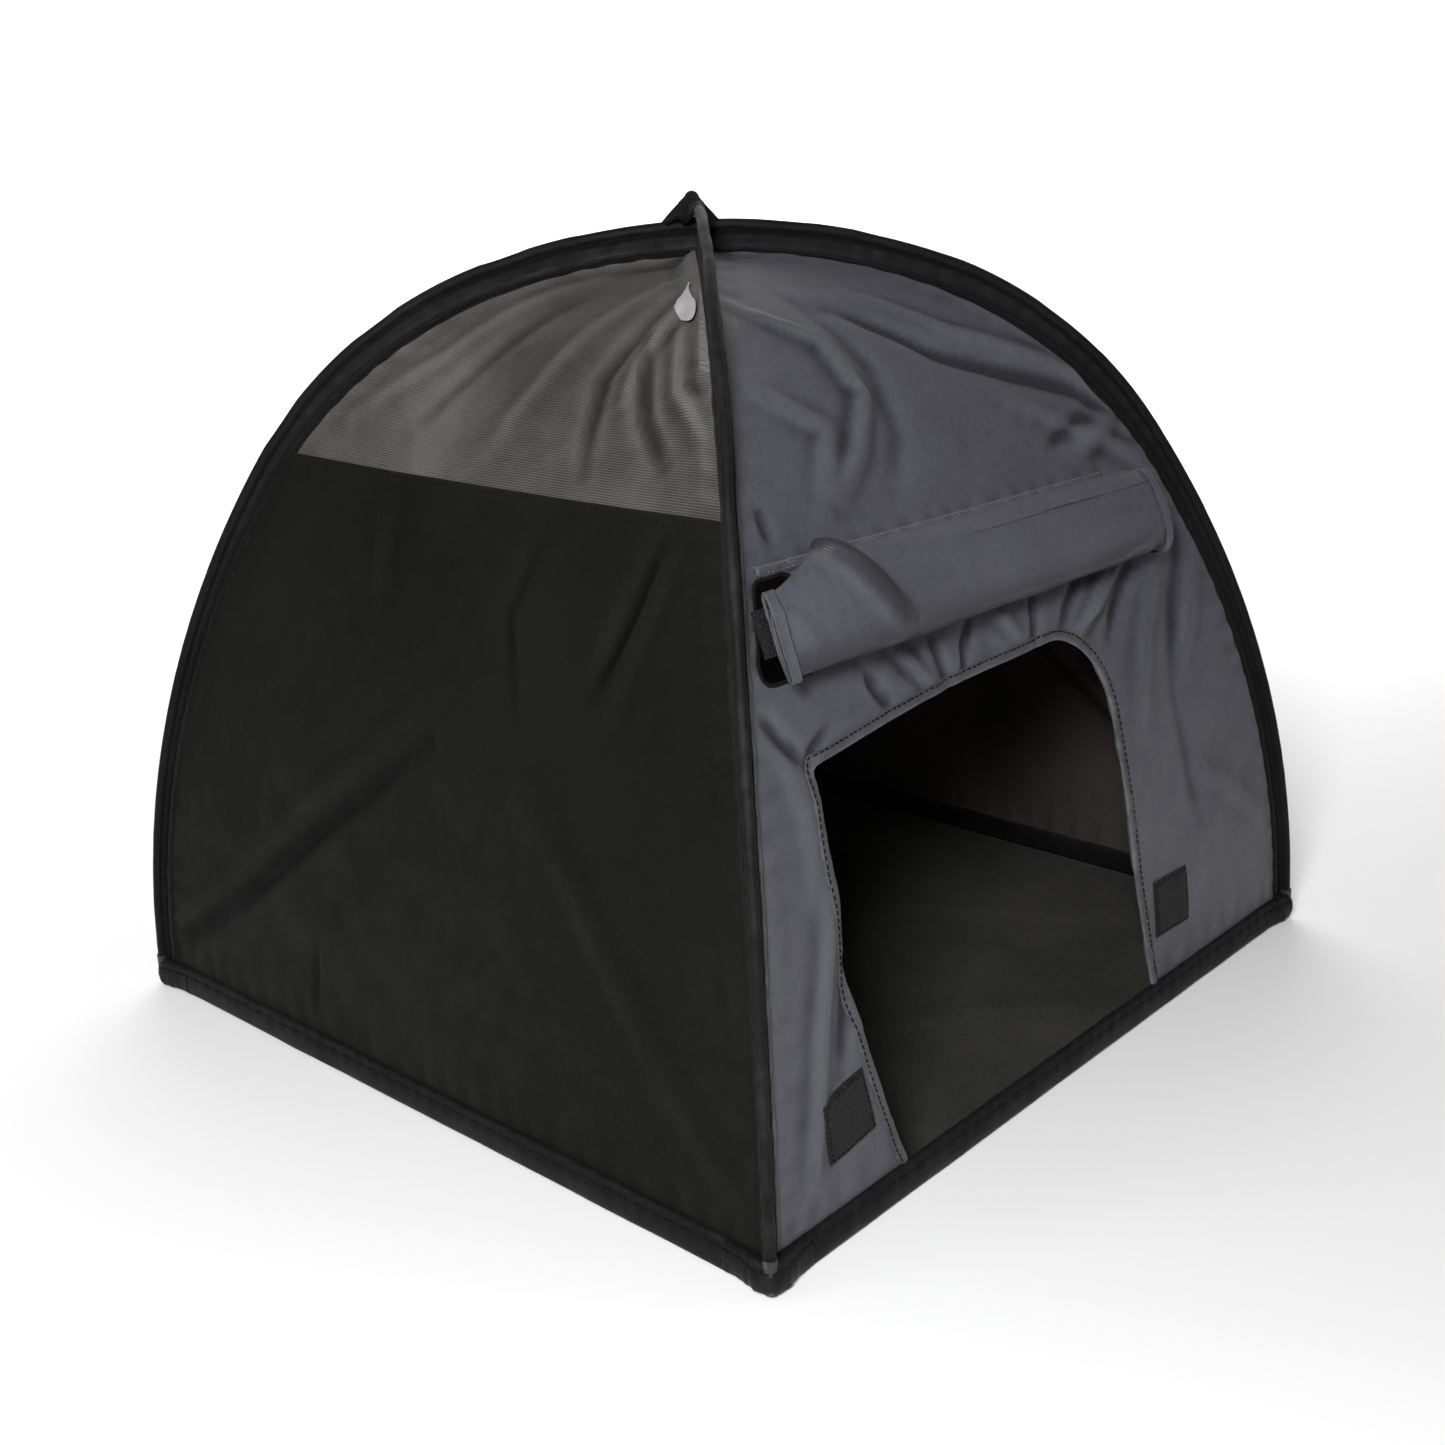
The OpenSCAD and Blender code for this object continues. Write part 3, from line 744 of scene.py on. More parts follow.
def fuzz_material(name, colour, tip):
    """Field of hook-and-loop fibres."""
    n = Nodes(name)
    cells = n.add("ShaderNodeTexVoronoi", feature="F1")
    cells.inputs["Scale"].default_value = 1300.0
    n.link(n.add("ShaderNodeTexCoord").outputs["Object"], cells.inputs["Vector"])
    fibre = n.mapped(cells.outputs["Distance"], 0.1, 0.6, 1.0, 0.0)
    n.feed(Base_Color=n.mix(n.math("MULTIPLY", fibre, n.blotches(60.0, 3.0, 0.3, 1.0)), colour, tip),
           Roughness=n.blotches(200.0, 3.0, 0.75, 0.95),
           Normal=n.bump(fibre, 0.9, 0.0004, n.bump(n.noise(260.0), 0.5, 0.0004)))
    n.set(Sheen_Weight=0.08, Sheen_Roughness=0.5, Specular_IOR_Level=0.1)
    return n.material


def hard_material(name, colour, scuffed, rough, metal, scale):
    """Moulded plastic or drawn rod, with scuffs."""
    n = Nodes(name)
    n.feed(Base_Color=n.mix(n.blotches(scale, 5.0, 0.0, 1.0, 0.52, 0.72), colour, scuffed),
           Roughness=n.blotches(scale * 0.6, 4.0, *rough),
           Normal=n.bump(n.noise(scale * 3.0, 3.0), 0.4, 0.00006))
    n.set(Metallic=metal)
    return n.material


NYLON = cloth_material("coated_nylon", (0.052, 0.052, 0.064), (0.078, 0.078, 0.093), (0.13, 0.13, 0.14),
                       (0.34, 0.50), 0.03, 0.03, specular=0.16)
NYLON_IN = cloth_material("nylon_inner_face", (0.026, 0.021, 0.019), (0.046, 0.038, 0.034),
                          (0.05, 0.05, 0.05), (0.6, 0.75), 0.04, specular=0.1)
BLACK = cloth_material("black_cloth", (0.0030, 0.0030, 0.0026), (0.0062, 0.0061, 0.0054),
                       (0.02, 0.02, 0.02), (0.50, 0.70), 0.01, patchy=14.0, specular=0.08)
FIN = cloth_material("sleeve_cloth", (0.0034, 0.0034, 0.0036), (0.0066, 0.0066, 0.0070),
                     (0.026, 0.026, 0.028), (0.46, 0.64), 0.015, patchy=22.0, crumple=0.0008, specular=0.08)
EDGE_CLOTH = cloth_material("seam_edge", (0.040, 0.040, 0.046), (0.062, 0.062, 0.070), (0.12, 0.12, 0.13),
                            (0.45, 0.6), 0.05, pitch=0.0006, patchy=30.0, specular=0.15)
FLOOR = cloth_material("floor_cloth", (0.022, 0.022, 0.018), (0.044, 0.043, 0.037), (0.06, 0.06, 0.055),
                       (0.45, 0.65), 0.03, pitch=0.0007, patchy=11.0, specular=0.12)
NET = net_material("mesh_net", (0.098, 0.094, 0.093), (0.047, 0.044, 0.042))
LABEL = cloth_material("label_cloth", (0.27, 0.255, 0.265), (0.35, 0.335, 0.345), (0.7, 0.7, 0.7),
                       (0.4, 0.55), 0.1, pitch=0.0003, crumple=0.0003)
THREAD = thread_material("thread_grey", (0.045, 0.045, 0.050))
THREAD_DARK = thread_material("thread_black", (0.006, 0.006, 0.0065), 0.03)
HOOKS = fuzz_material("hook_and_loop", (0.0045, 0.0045, 0.0045), (0.014, 0.014, 0.0145))
ROD = hard_material("spring_rod", (0.16, 0.165, 0.17), (0.05, 0.05, 0.05), (0.25, 0.4), 0.9, 90.0)
TIP = hard_material("tip_plastic", (0.012, 0.012, 0.013), (0.05, 0.05, 0.05), (0.35, 0.55), 0.0, 240.0)

# ---------------------------------------------------------------- camera, floor and light
scene = bpy.context.scene
scene.view_settings.view_transform = "Standard"
AZ, EL, ROLL = math.radians(-46.9), math.radians(18.97), math.radians(-2.5)
back = Vector((math.sin(AZ) * math.cos(EL), -math.cos(AZ) * math.cos(EL), math.sin(EL)))
right = Vector((math.cos(AZ), math.sin(AZ), 0))
up = back.cross(right)
right, up = right * math.cos(ROLL) + up * math.sin(ROLL), up * math.cos(ROLL) - right * math.sin(ROLL)
camera = bpy.data.objects.new("camera", bpy.data.cameras.new("camera"))
camera.data.sensor_width = 36
camera.data.lens = 45.6
camera.data.clip_start = 0.01
scene.collection.objects.link(camera)
turn = Matrix((right, up, back)).transposed().to_4x4()
turn.translation = Vector((-0.6057, -0.5679, 0.4056))
camera.matrix_world = turn
scene.camera = camera

ground = Shape()
run = np.concatenate([np.linspace(-4, 1.6, 30), 1.6 + 1.2 * np.sin(np.linspace(0.05, math.pi / 2, 24))])
rise = np.concatenate([np.zeros(30), 1.2 * (1 - np.cos(np.linspace(0.05, math.pi / 2, 24)))])
run, rise = np.append(run, run[-1]), np.append(rise, 3.2)
far = np.array([-back.x, -back.y, 0]) / math.hypot(back.x, back.y)
side_way = np.array([right.x, right.y, 0]) / math.hypot(right.x, right.y)
wide = np.linspace(-4, 4, 9)
co = run[:, None, None] * far + wide[None, :, None] * side_way + (rise[:, None, None] - 0.0004) * K
ground.add(co, grid_faces(len(run), len(wide)), pairs(run[:, None], wide[None, :]))
paper = Nodes("studio_floor")
paper.feed(Base_Color=paper.mix(paper.noise(3.0), (0.86, 0.86, 0.86), (0.88, 0.88, 0.88)))
paper.set(Roughness=0.8, Specular_IOR_Level=0.1)
ground.make("studio_floor", [paper.material])

world = bpy.data.worlds.new("studio")
scene.world = world
world.use_nodes = True
world.node_tree.nodes["Background"].inputs[0].default_value = (1.0, 1.0, 1.0, 1.0)
world.node_tree.nodes["Background"].inputs[1].default_value = 0.19


def area_light(name, place, target, size, power, spread=180):
    light = bpy.data.lights.new(name, "AREA")
    light.shape, light.size, light.energy = "SQUARE", size, power
    light.spread = math.radians(spread)
    obj = bpy.data.objects.new(name, light)
    obj.location = place
    obj.rotation_euler = (Vector(target) - Vector(place)).to_track_quat("-Z", "Y").to_euler()
    scene.collection.objects.link(obj)


area_light("key", (-0.82, -0.56, 0.68), (-0.02, -0.08, 0.15), 0.24, 13.5)
area_light("sheen", (0.9, -1.5, 1.3), (0, 0, 0.18), 0.3, 1.1)
area_light("backdrop", (0.75, 0.8, 1.7), (2.1, 1.9, 0.3), 1.2, 75)
area_light("floor_wash", (-1.5, 0.7, 1.0), (-1.0, 0.9, 0.0), 0.8, 7, spread=100)


# ---------------------------------------------------------------- helpers for placing pieces
def still(obj, body, node):
    """Rides a body without changing shape."""
    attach(obj, body)
    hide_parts(node)
    return obj


def press(obj, node):
    """Cloth that rides the shelter's body, with a mesh of its own."""
    still(obj, "shelter", node)
    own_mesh(obj)


# ---------------------------------------------------------------- walls and windows
def wall_outline(z0, z1):
    """Outline of a wall's cloth between two heights; at the top it stops where the wall is 2.4 mm wide."""
    top = s_of(z1) if z1 < WALL_TOP else np.interp(-EDGE - 0.0012, -_a, _s)
    run = np.linspace(float(s_of(z0)), float(top), 120)
    side_line = a_of(run) - EDGE
    return np.vstack([np.stack([side_line, run], axis=1), np.stack([-side_line, run], axis=1)[::-1]])


def wall_sheet(name, side, outline, holes, step, materials, thick):
    pts, tri, area = cloth_region(outline, holes, step)
    around = sum(relief(side, *(pts + step_by).T)
                 for step_by in ((0.006, 0), (-0.006, 0), (0, 0.006), (0, -0.006))) / 4
    # painted shade in the creases: the further a point lies below the cloth round it, the darker it is
    # painted; points on a ridge get a little rubbed wear instead
    painted_shade = np.clip((around - relief(side, *pts.T)) / 0.0011, -1, 1)
    shape = Shape().add(wall(side, *pts.T), tri, pts, np.where(painted_shade > 0, -painted_shade, -0.2 * painted_shade))
    obj = shape.make(name, materials)
    if thick:
        solid(obj, thick)
    return obj, area


def grown(path, by, closed=False):
    return path + left_of(path, closed) * by


# the doorway runs counter to the outline's left-hand normal: left of travel is outside the opening
door_hole = grown(DOOR_PATH, 0.0016)
slot_hole = grown(SLOT_PATH, -0.0006, True)
BASE_Z = HEM_H - 0.0022

# the doorway cuts the wall down to the hem, so the front outline is one loop round it
base_s = float(s_of(BASE_Z))
front_outline = np.vstack([[[door_hole[-1, 0], base_s]], wall_outline(BASE_Z, WALL_TOP),
                           [[door_hole[0, 0], base_s]], door_hole[1:-1]])
front, area = wall_sheet("front_wall_cloth", "front", front_outline, [slot_hole], 0.0024, [NYLON, NYLON_IN],
                         CLOTH_T)
press(front, "front_wall")

rear, area = wall_sheet("back_wall_cloth", "back", wall_outline(BASE_Z, WALL_TOP), [], 0.0030,
                        [NYLON, NYLON_IN], CLOTH_T)
press(rear, "back_wall")

for side in ("left", "right"):
    step = 0.0026 if side == "left" else 0.0032
    low, area = wall_sheet(f"{side}_wall_cloth", side, wall_outline(BASE_Z, WINDOW_Z - 0.002), [], step,
                           [BLACK, NYLON_IN], CLOTH_T)
    press(low, f"{side}_wall")
    net, area = wall_sheet(f"{side}_window_net", side, wall_outline(WINDOW_Z - 0.003, WALL_TOP), [], step,
                           [NET], 0)
    press(net, f"{side}_window_mesh")


def wall_normals(side, w, s):
    e = 0.0006
    p = wall(side, w, s)
    return unit(np.cross(wall(side, w + e, s) - p, wall(side, w, np.minimum(s + e, TOP_S)) - p))


def wall_stitches(shape, side, line, lift, **pitch):
    stitches(shape, wall(side, *line.T, lift), wall_normals(side, *line.T), **pitch)


def strip_section(width, top, under, count=7):
    """Section of a flat strip, out along one face and back along the other: way across it, and lift."""
    v = np.concatenate([np.linspace(0, 1, count), np.linspace(1, 0, count)])
    arch = np.sin(math.pi * v) ** 0.35
    lift = np.concatenate([np.full(count, top), np.full(count, under)]) * arch
    return v * width, lift


def wall_strip(shape, side, path, width, top, under, closed=False, seam_at=(), flip=1.0, ripple=0.0):
    """A narrow strip lying along a path on a wall, folded over the cloth's edge, with rows of stitches."""
    over = flip * left_of(path, closed)
    across, lift = strip_section(width, top, under)
    at = path[:, None] + over[:, None] * across[None, :, None]
    wave = 1 + ripple * noise(run_along(path)[:, None], across[None, :], 0.006, 91)
    wear_and_shade = 0.8 * bell(across, 0.25 * width)[None, :]
    tube(shape, wall(side, at[..., 0], at[..., 1], lift[None, :] * wave), width * 2, closed, wear_and_shade)
    for way in seam_at:
        wall_stitches(shape, side, path + over * way, top * 0.95)


for side in ("left", "right"):
    strip = Shape()
    edge_w = float(a_of(s_of(WINDOW_Z - 0.0044))) - EDGE - 0.0003
    path = np.stack([np.linspace(edge_w, -edge_w, 140), np.full(140, float(s_of(WINDOW_Z)))], axis=1)
    wall_strip(strip, side, path, EDGE_BAND_W, 0.0007, -0.0012, seam_at=(0.0011, 0.0036), ripple=0.25)
    obj = strip.make(f"{side}_window_edge_binding", [BLACK, THREAD_DARK], outward=True)
    press(obj, f"{side}_window_hem")


# turned edges beside the sleeves: a pale one on the door side of the near sleeve, black bands elsewhere
def edge_path(sign):
    run = np.arange(float(s_of(HEM_H + 0.0005)), TOP_S - 0.0045, 0.002)
    return np.stack([sign * (a_of(run) - EDGE - 0.0001), run], axis=1)


def edge_band(shape, side, sign):
    wall_strip(shape, side, edge_path(sign), EDGE_BAND_W, 0.0007, -0.0006, flip=float(sign),
               seam_at=(0.0039,), ripple=0.3)


for name, side, sign in (("front_seam_left", "front", -1), ("front_seam_right", "front", 1),
                         ("back_seam_left", "back", 1), ("back_seam_right", "back", -1)):
    strip = Shape()
    if name == "front_seam_left":
        wall_strip(strip, side, edge_path(sign), 0.0015, 0.00125, -0.0004, flip=float(sign), ripple=0.3)
        materials = [EDGE_CLOTH, THREAD]
    else:
        edge_band(strip, side, sign)
        materials = [FIN, THREAD_DARK]
    press(strip.make(f"{name}_edge", materials, outward=True), name)

# bindings round the doorway and the slot
binding = Shape()
wall_strip(binding, "front", DOOR_PATH, BINDING, 0.0012, -0.0014, seam_at=(0.0037,), ripple=0.45)
press(binding.make("door_edge_binding", [EDGE_CLOTH, THREAD_DARK], outward=True), "door_binding")
binding = Shape()
wall_strip(binding, "front", SLOT_PATH, 0.0017, 0.0004, -0.0010, closed=True, flip=-1.0, ripple=0.3)
press(binding.make("slot_edge_binding", [BLACK, THREAD_DARK], outward=True), "slot_binding")


# hook-and-loop squares on the door wall
def wall_square(name, x, z, lean, side_length, node):
    """A square sewn on with its middle at (x, z), turned by lean degrees, stitched in_by from its rim."""
    c, s = math.cos(math.radians(lean)), math.sin(math.radians(lean))

    def on_wall(p, r):
        return x + c * p - s * r, s_of(z + s * p + c * r)

    n, half, in_by = 33, side_length / 2, 0.0017
    q = np.linspace(-half, half, n)
    p, r = np.meshgrid(q, q, indexing="ij")
    rim = np.minimum(half - np.abs(p), half - np.abs(r))
    lift = 0.00015 + 0.00085 * smooth(rim / 0.0012) ** 0.6 + 0.00012 * noise(p, r, 0.0011, 3) * (rim > 0.002)
    lift = lift - 0.00030 * bell(rim - in_by, 0.0005)
    shape = Shape()
    shape.add(wall("front", *on_wall(p, r), lift), grid_faces(n, n)[:, ::-1], pairs(p, r))
    shape.add(wall("front", *on_wall(p, r), -0.0001), grid_faces(n, n), pairs(p, r))
    k = half - in_by
    loop = resample([(-k, -k), (k, -k), (k, k), (-k, k)], 0.001, True)
    loop = np.vstack([loop, loop[:1]])
    wall_stitches(shape, "front", np.stack(on_wall(*loop.T), axis=1), 0.0008, pitch=0.0026)
    press(shape.make(name, [HOOKS, THREAD_DARK]), node)


wall_square("door_hook_patch_left", -0.149, 0.048, 10, 0.027, "door_hook_left")
wall_square("door_hook_patch_right", 0.088, 0.048, 0, 0.027, "door_hook_right")

# care label: a small blank tab that hangs from the window's top corner
label = Shape()
u, v = np.meshgrid(np.linspace(-1, 1, 25), np.linspace(0, 1, 49), indexing="ij")
blob = np.sqrt(np.clip(1 - ((v - 0.70) / 0.305) ** 2, 0, 1))
wide = 0.0066 * np.maximum(blob * (v > 0.5), smooth(v / 0.70) ** 2.2 * (v <= 0.70)) + 0.0006
w = 0.0400 + 0.0225 * v + u * wide * 1.15
s = np.interp(-(0.0500 + 0.0270 * v), -_a, _s) - u * wide * 0.35
label.add(wall("left", w, s, 0.0011 + 0.0012 * np.sin(v * 2.8) + 0.0006 * u * v), grid_faces(25, 49),
          pairs(u * wide, v * 0.030))
obj = label.make("care_label_tab", [LABEL])
solid(obj, 0.0003, 0)
press(obj, "care_label")

# ---------------------------------------------------------------- sleeves over the two rods
BANDS = {"upper": (), "lower": (("left", -1), ("right", -1))}


def hump(p, q):
    """Height of the cloth tented over the crossing: p along the lower rod, q along the upper one."""
    lean = 0.0026
    far = np.where(p < -lean, (-lean - p) / 0.0142, (p + lean) / 0.0120)
    peak = np.clip(1.16 * (1 - np.sqrt(far**2 + 0.022)), 0, None)
    low = WALL_TOP + 0.002
    flank = smooth((np.abs(q) - 0.0012) / (0.0022 + 0.0078 * np.clip(1 - far, 0, 1)))
    cone = low + (CROWN_H - 0.0010 + 0.0120 * peak - low) * (1 - flank)
    middle = -lean * bell(q, 0.0065)
    crest = CROWN_H + CROSS_RISE + 0.0003 + 0.0042 * bell(q, 0.0050)
    crest = crest - 0.0016 * smooth((np.abs(q) - 0.009) / 0.007)
    ridge = crest - 0.0011 * ((p - middle) / lean) ** 2 - 1.5 * np.clip(np.abs(p - middle) - lean, 0, None)
    # the higher of the two, with a soft change from one to the other
    sharp, base = 2200.0, 0.35
    both = np.log(np.exp((cone - base) * sharp) + np.exp((ridge - base) * sharp)) / sharp + base
    return both + 0.00025 * noise(p, q, 0.006, 43)


def crossing(shape, near, far, lift, thick):
    """Part of the tented scrap over the crossing, between two scales of its outline."""
    turn_at = np.linspace(0, ALL_ROUND, 180, endpoint=False)[:, None]
    rho = np.linspace(near, far, 34)[None, :]
    along, across = UP["upper"][0], UP["lower"][0]

    def sheet(rho, drop):
        p = -0.0030 + 0.0142 * rho * np.cos(turn_at)
        q = (0.0032 + 0.0123 * bell(p + 0.001, 0.0042)) * rho * np.sin(turn_at)
        return p[..., None] * across + q[..., None] * along + (hump(p, q) + drop)[..., None] * K

    rings = np.concatenate([sheet(rho, lift), sheet(rho[:, ::-1] * 0.995, lift - thick)], axis=1)
    tube(shape, rings, 0.06, True, 0.3 * smooth((rings[..., 2] - CROWN_H - 0.004) / 0.006))


def sleeve(name, which, rise, seed):
    outer = Arch(DIAG, CROWN_H + rise)
    count = 520
    u, z, nu, nz = outer.at(np.linspace(0, 2 * outer.half, count))
    iu, iz, _, _ = WALL_ARCH.at(np.linspace(0, 2 * WALL_ARCH.half, 4000))
    # foot of each rib on the wall corner line: where the normal meets it
    depth = np.empty(count)
    for k in range(count):
        dx, dz = u[k] - iu, z[k] - iz
        off_line = np.abs(dx * nz[k] - dz * nu[k])
        best = np.where(dx * nu[k] + dz * nz[k] > 0, off_line, 9).argmin()
        depth[k] = (dx * nu[k] + dz * nz[k])[best]
    keep = z > HEM_H - 0.001
    u, z, nu, nz, depth = u[keep], z[keep], nu[keep], nz[keep], depth[keep]
    n = len(u)
    run = np.linspace(0, 1, n) * 2 * outer.half
    along, across = UP[which]
    # section: n inward from the outer edge, b across; a round channel for the rod, then a flat web
    ring_angle = np.linspace(math.radians(-128), math.radians(128), 17)
    tube_b = np.sin(ring_angle)
    tube_n = 1 - np.cos(ring_angle)
    web = np.array([0.0, 0.22, 0.45, 0.68, 0.88, 1.0])
    web_b = np.array([0.30, 0.34, 0.36, 0.40, 0.74, 1.22])
    rows = []
    half_w = 0.00235
    tube_r = np.minimum(0.00235, depth * 0.42)
    slack = 0.0006 * np.maximum(0, flat_noise(run, 0.022, seed)) * smooth((depth - 0.006) / 0.004)
    sway = 0.00055 * flat_noise(run, 0.035, seed + 1) * smooth((depth - 0.006) / 0.004)
    n0 = 0.00015 + slack
    for b, d in zip(tube_b, tube_n):
        rows.append((b * half_w + 0 * run, n0 + d * tube_r * 1.12))
    start = n0 + tube_n[-1] * tube_r * 1.12
    for f, b in zip(web, web_b):
        rows.append((b * half_w + 0 * run, start + (depth + 0.0016 - start) * (0.10 + 0.90 * f)))
    left = [(-b, d) for b, d in rows[17:]][::-1]
    end = rows[-1][1]
    ridge = [(0.0022, 0.0002), (0.0020, 0.0014), (0.0, 0.0030), (-0.0020, 0.0014), (-0.0022, 0.0002)]
    rows = rows + [(b + 0 * end, end + d) for b, d in ridge] + left
    B = np.stack([r[0] for r in rows], axis=1)
    D = np.stack([r[1] for r in rows], axis=1)
    # puckers of the sewn channel, and the soft sway of the loose fin
    inward = D / depth[:, None]
    pucker = 0.00028 * np.sin(ALL_ROUND * run / 0.011 + 2 * flat_noise(run, 0.04, seed + 2))
    web_zone = bell(inward - 0.62, 0.25)
    B = B + np.sign(B) * (pucker[:, None] * web_zone) + sway[:, None] * np.clip(1 - inward, 0, 1)
    B = B + 0.00022 * noise(run[:, None] + B * 3, D, 0.006, seed + 3)
    P = ((u[:, None] - nu[:, None] * D)[..., None] * along
         + (z[:, None] - nz[:, None] * D)[..., None] * K + B[..., None] * across)
    wear_and_shade = bell(D, 0.0011) * (0.45 + 0.35 * flat_noise(run, 0.012, seed + 5)[:, None])
    shape = Shape()
    tube(shape, P, 2 * float(depth.mean()) + 0.004, wear_and_shade=wear_and_shade)
    # two rows of stitching that close the rod channel, one each face
    channel = start + (depth - start) * 0.16
    ok = depth > 0.0058
    for sign in (-1, 1):
        bb = sign * (half_w * 0.36) + sway * np.clip(1 - channel / depth, 0, 1)
        line = (u - nu * channel)[:, None] * along + (z - nz * channel)[:, None] * K + bb[:, None] * across
        nor = np.broadcast_to(across * sign, line.shape)
        stitches(shape, line[ok], nor[ok], pitch=0.0031, length=0.0022)
    for side, sign in BANDS[which]:
        edge_band(shape, side, sign)
    if which == "lower":
        crossing(shape, 0.38, 1.0, 0.0, 0.0030)
        # the sleeve's own cloth gathered up under the peak
        foot = 0.3515
        p = np.linspace(-0.0130, -0.0011, 30)[:, None]
        top = np.minimum(hump(p, 0 * p) - 0.0022, 0.3550 + 1.2 * np.clip(-0.0030 - p, 0, None))
        q, up = np.array([[1, 0], [1, 1], [0, 1.15], [-1, 1], [-1, 0]]).T[:, None]
        high = foot + (top - foot) * up / 1.15
        gather = p[..., None] * along + (0.0012 * q * (1 + 0 * p))[..., None] * across + high[..., None] * K
        tube(shape, gather, 0.01)
    press(shape.make(name, [FIN, THREAD_DARK], outward=True), f"pole_sleeve_{which}")


sleeve("sleeve_upper_cloth", "upper", CROSS_RISE, 201)
sleeve("sleeve_lower_cloth", "lower", 0.0, 231)

# peaked scrap of cloth over the crossing
cap = Shape()
crossing(cap, 0.001, 0.41, 0.0003, 0.0012)
cap = still(cap.make("crown_cap_cloth", [FIN], outward=True), "crown", "crown_cap")
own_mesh(cap)


# ---------------------------------------------------------------- base: floor, hems, corner pockets
floor = Shape()
n = 150
b = HALF - HEM_T + 0.0010
q = np.linspace(-b, b, n)
x, y = np.meshgrid(q, q, indexing="ij")
corner = np.maximum(np.abs(x) + np.abs(y) - (2 * b - 0.014), 0)
x, y = x - np.sign(x) * corner * 0.5, y - np.sign(y) * corner * 0.5
lift = 0.0011 + 0.0012 * smooth(0.5 + 0.9 * noise(x, y, 0.05, 301)) + 0.0005 * noise(x, y, 0.018, 302)
lift = lift + creased(x, y, [([(-150, -160), (-60, -90), (20, -60), (120, 10)], 1.6, 7),
                             ([(-170, -60), (-90, -70), (-20, -110), (60, -170)], 1.4, 6),
                             ([(20, 40), (90, -40), (150, -150)], 1.2, 8),
                             ([(-120, 60), (0, 20), (130, 90)], 1.3, 8)])
rim = np.minimum(b - np.abs(x), b - np.abs(y))
lift = 0.0010 + (np.clip(lift, 0.0006, 0.004) - 0.0010) * smooth(rim / 0.02)
floor.add(np.stack([x, y, lift], axis=-1), grid_faces(n, n), pairs(x, y))
obj = floor.make("floor_cloth_sheet", [FLOOR])
solid(obj, 0.0006, 0)
if obj.data.polygons[0].normal.z < 0:
    obj.data.flip_normals()
still(obj, "shelter", "floor_sheet")


def hem_section(m=30):
    """Soft tube section: (out, up) from the middle of the hem, fuller at the foot than at the sewn top."""
    a = np.linspace(0, ALL_ROUND, m, endpoint=False)
    out = 0.00285 * np.sign(np.cos(a)) * np.abs(np.cos(a)) ** 0.62
    high = 0.00685 * np.sign(np.sin(a)) * np.abs(np.sin(a)) ** 0.80
    out = out * (1 - 0.10 * np.clip(high / 0.007, 0, 1))
    groove = 0.00055 * bell(high - HEM_SEAM, 0.0009) * (out > 0)
    return out - groove, high, a


def hem(side, seed):
    out, high, a = hem_section()
    w = np.linspace(-0.1768, 0.1768, 300)
    run = w[:, None] + 0 * a[None, :]
    swell = 0.00018 * noise(run, a[None, :] * 0.003, 0.018, seed)
    pucker = 0.00022 * np.sin(ALL_ROUND * run / 0.0095 + 2 * flat_noise(run, 0.03, seed + 1))
    pucker = pucker * bell(high - HEM_SEAM, 0.0030)[None, :] * (out[None, :] > 0)
    o = HALF - HEM_T / 2 - 0.0001 + np.clip(out[None, :] + swell * np.cos(a)[None, :] - pucker, -0.003, 0.003)
    h = np.clip(HEM_H / 2 + high[None, :] + swell * np.sin(a)[None, :], 0.0001, HEM_H)
    px, py = SIDES[side](o, run)
    rings = np.stack([px, py, h], axis=-1)
    shape = Shape()
    tube(shape, rings, HEM_GIRTH, wear_and_shade=0.35 * bell(high / 0.007 - 0.92, 0.1)[None, :])
    line_w = np.linspace(-0.176, 0.176, 240)
    px, py = SIDES[side](np.full(240, HALF - 0.0006), line_w)
    line = np.stack([px, py, np.full(240, HEM_H / 2 + HEM_SEAM)], axis=-1)
    nx, ny = SIDES[side](np.ones(240), np.zeros(240))
    stitches(shape, line, np.stack([nx, ny, 0 * nx], axis=-1))
    obj = shape.make(f"base_hem_{side}_cloth", [FIN, THREAD_DARK], outward=True)
    still(obj, "shelter", f"base_hem_{side}")


for k, side in enumerate(("front", "right", "back", "left")):
    hem(side, 400 + 10 * k)


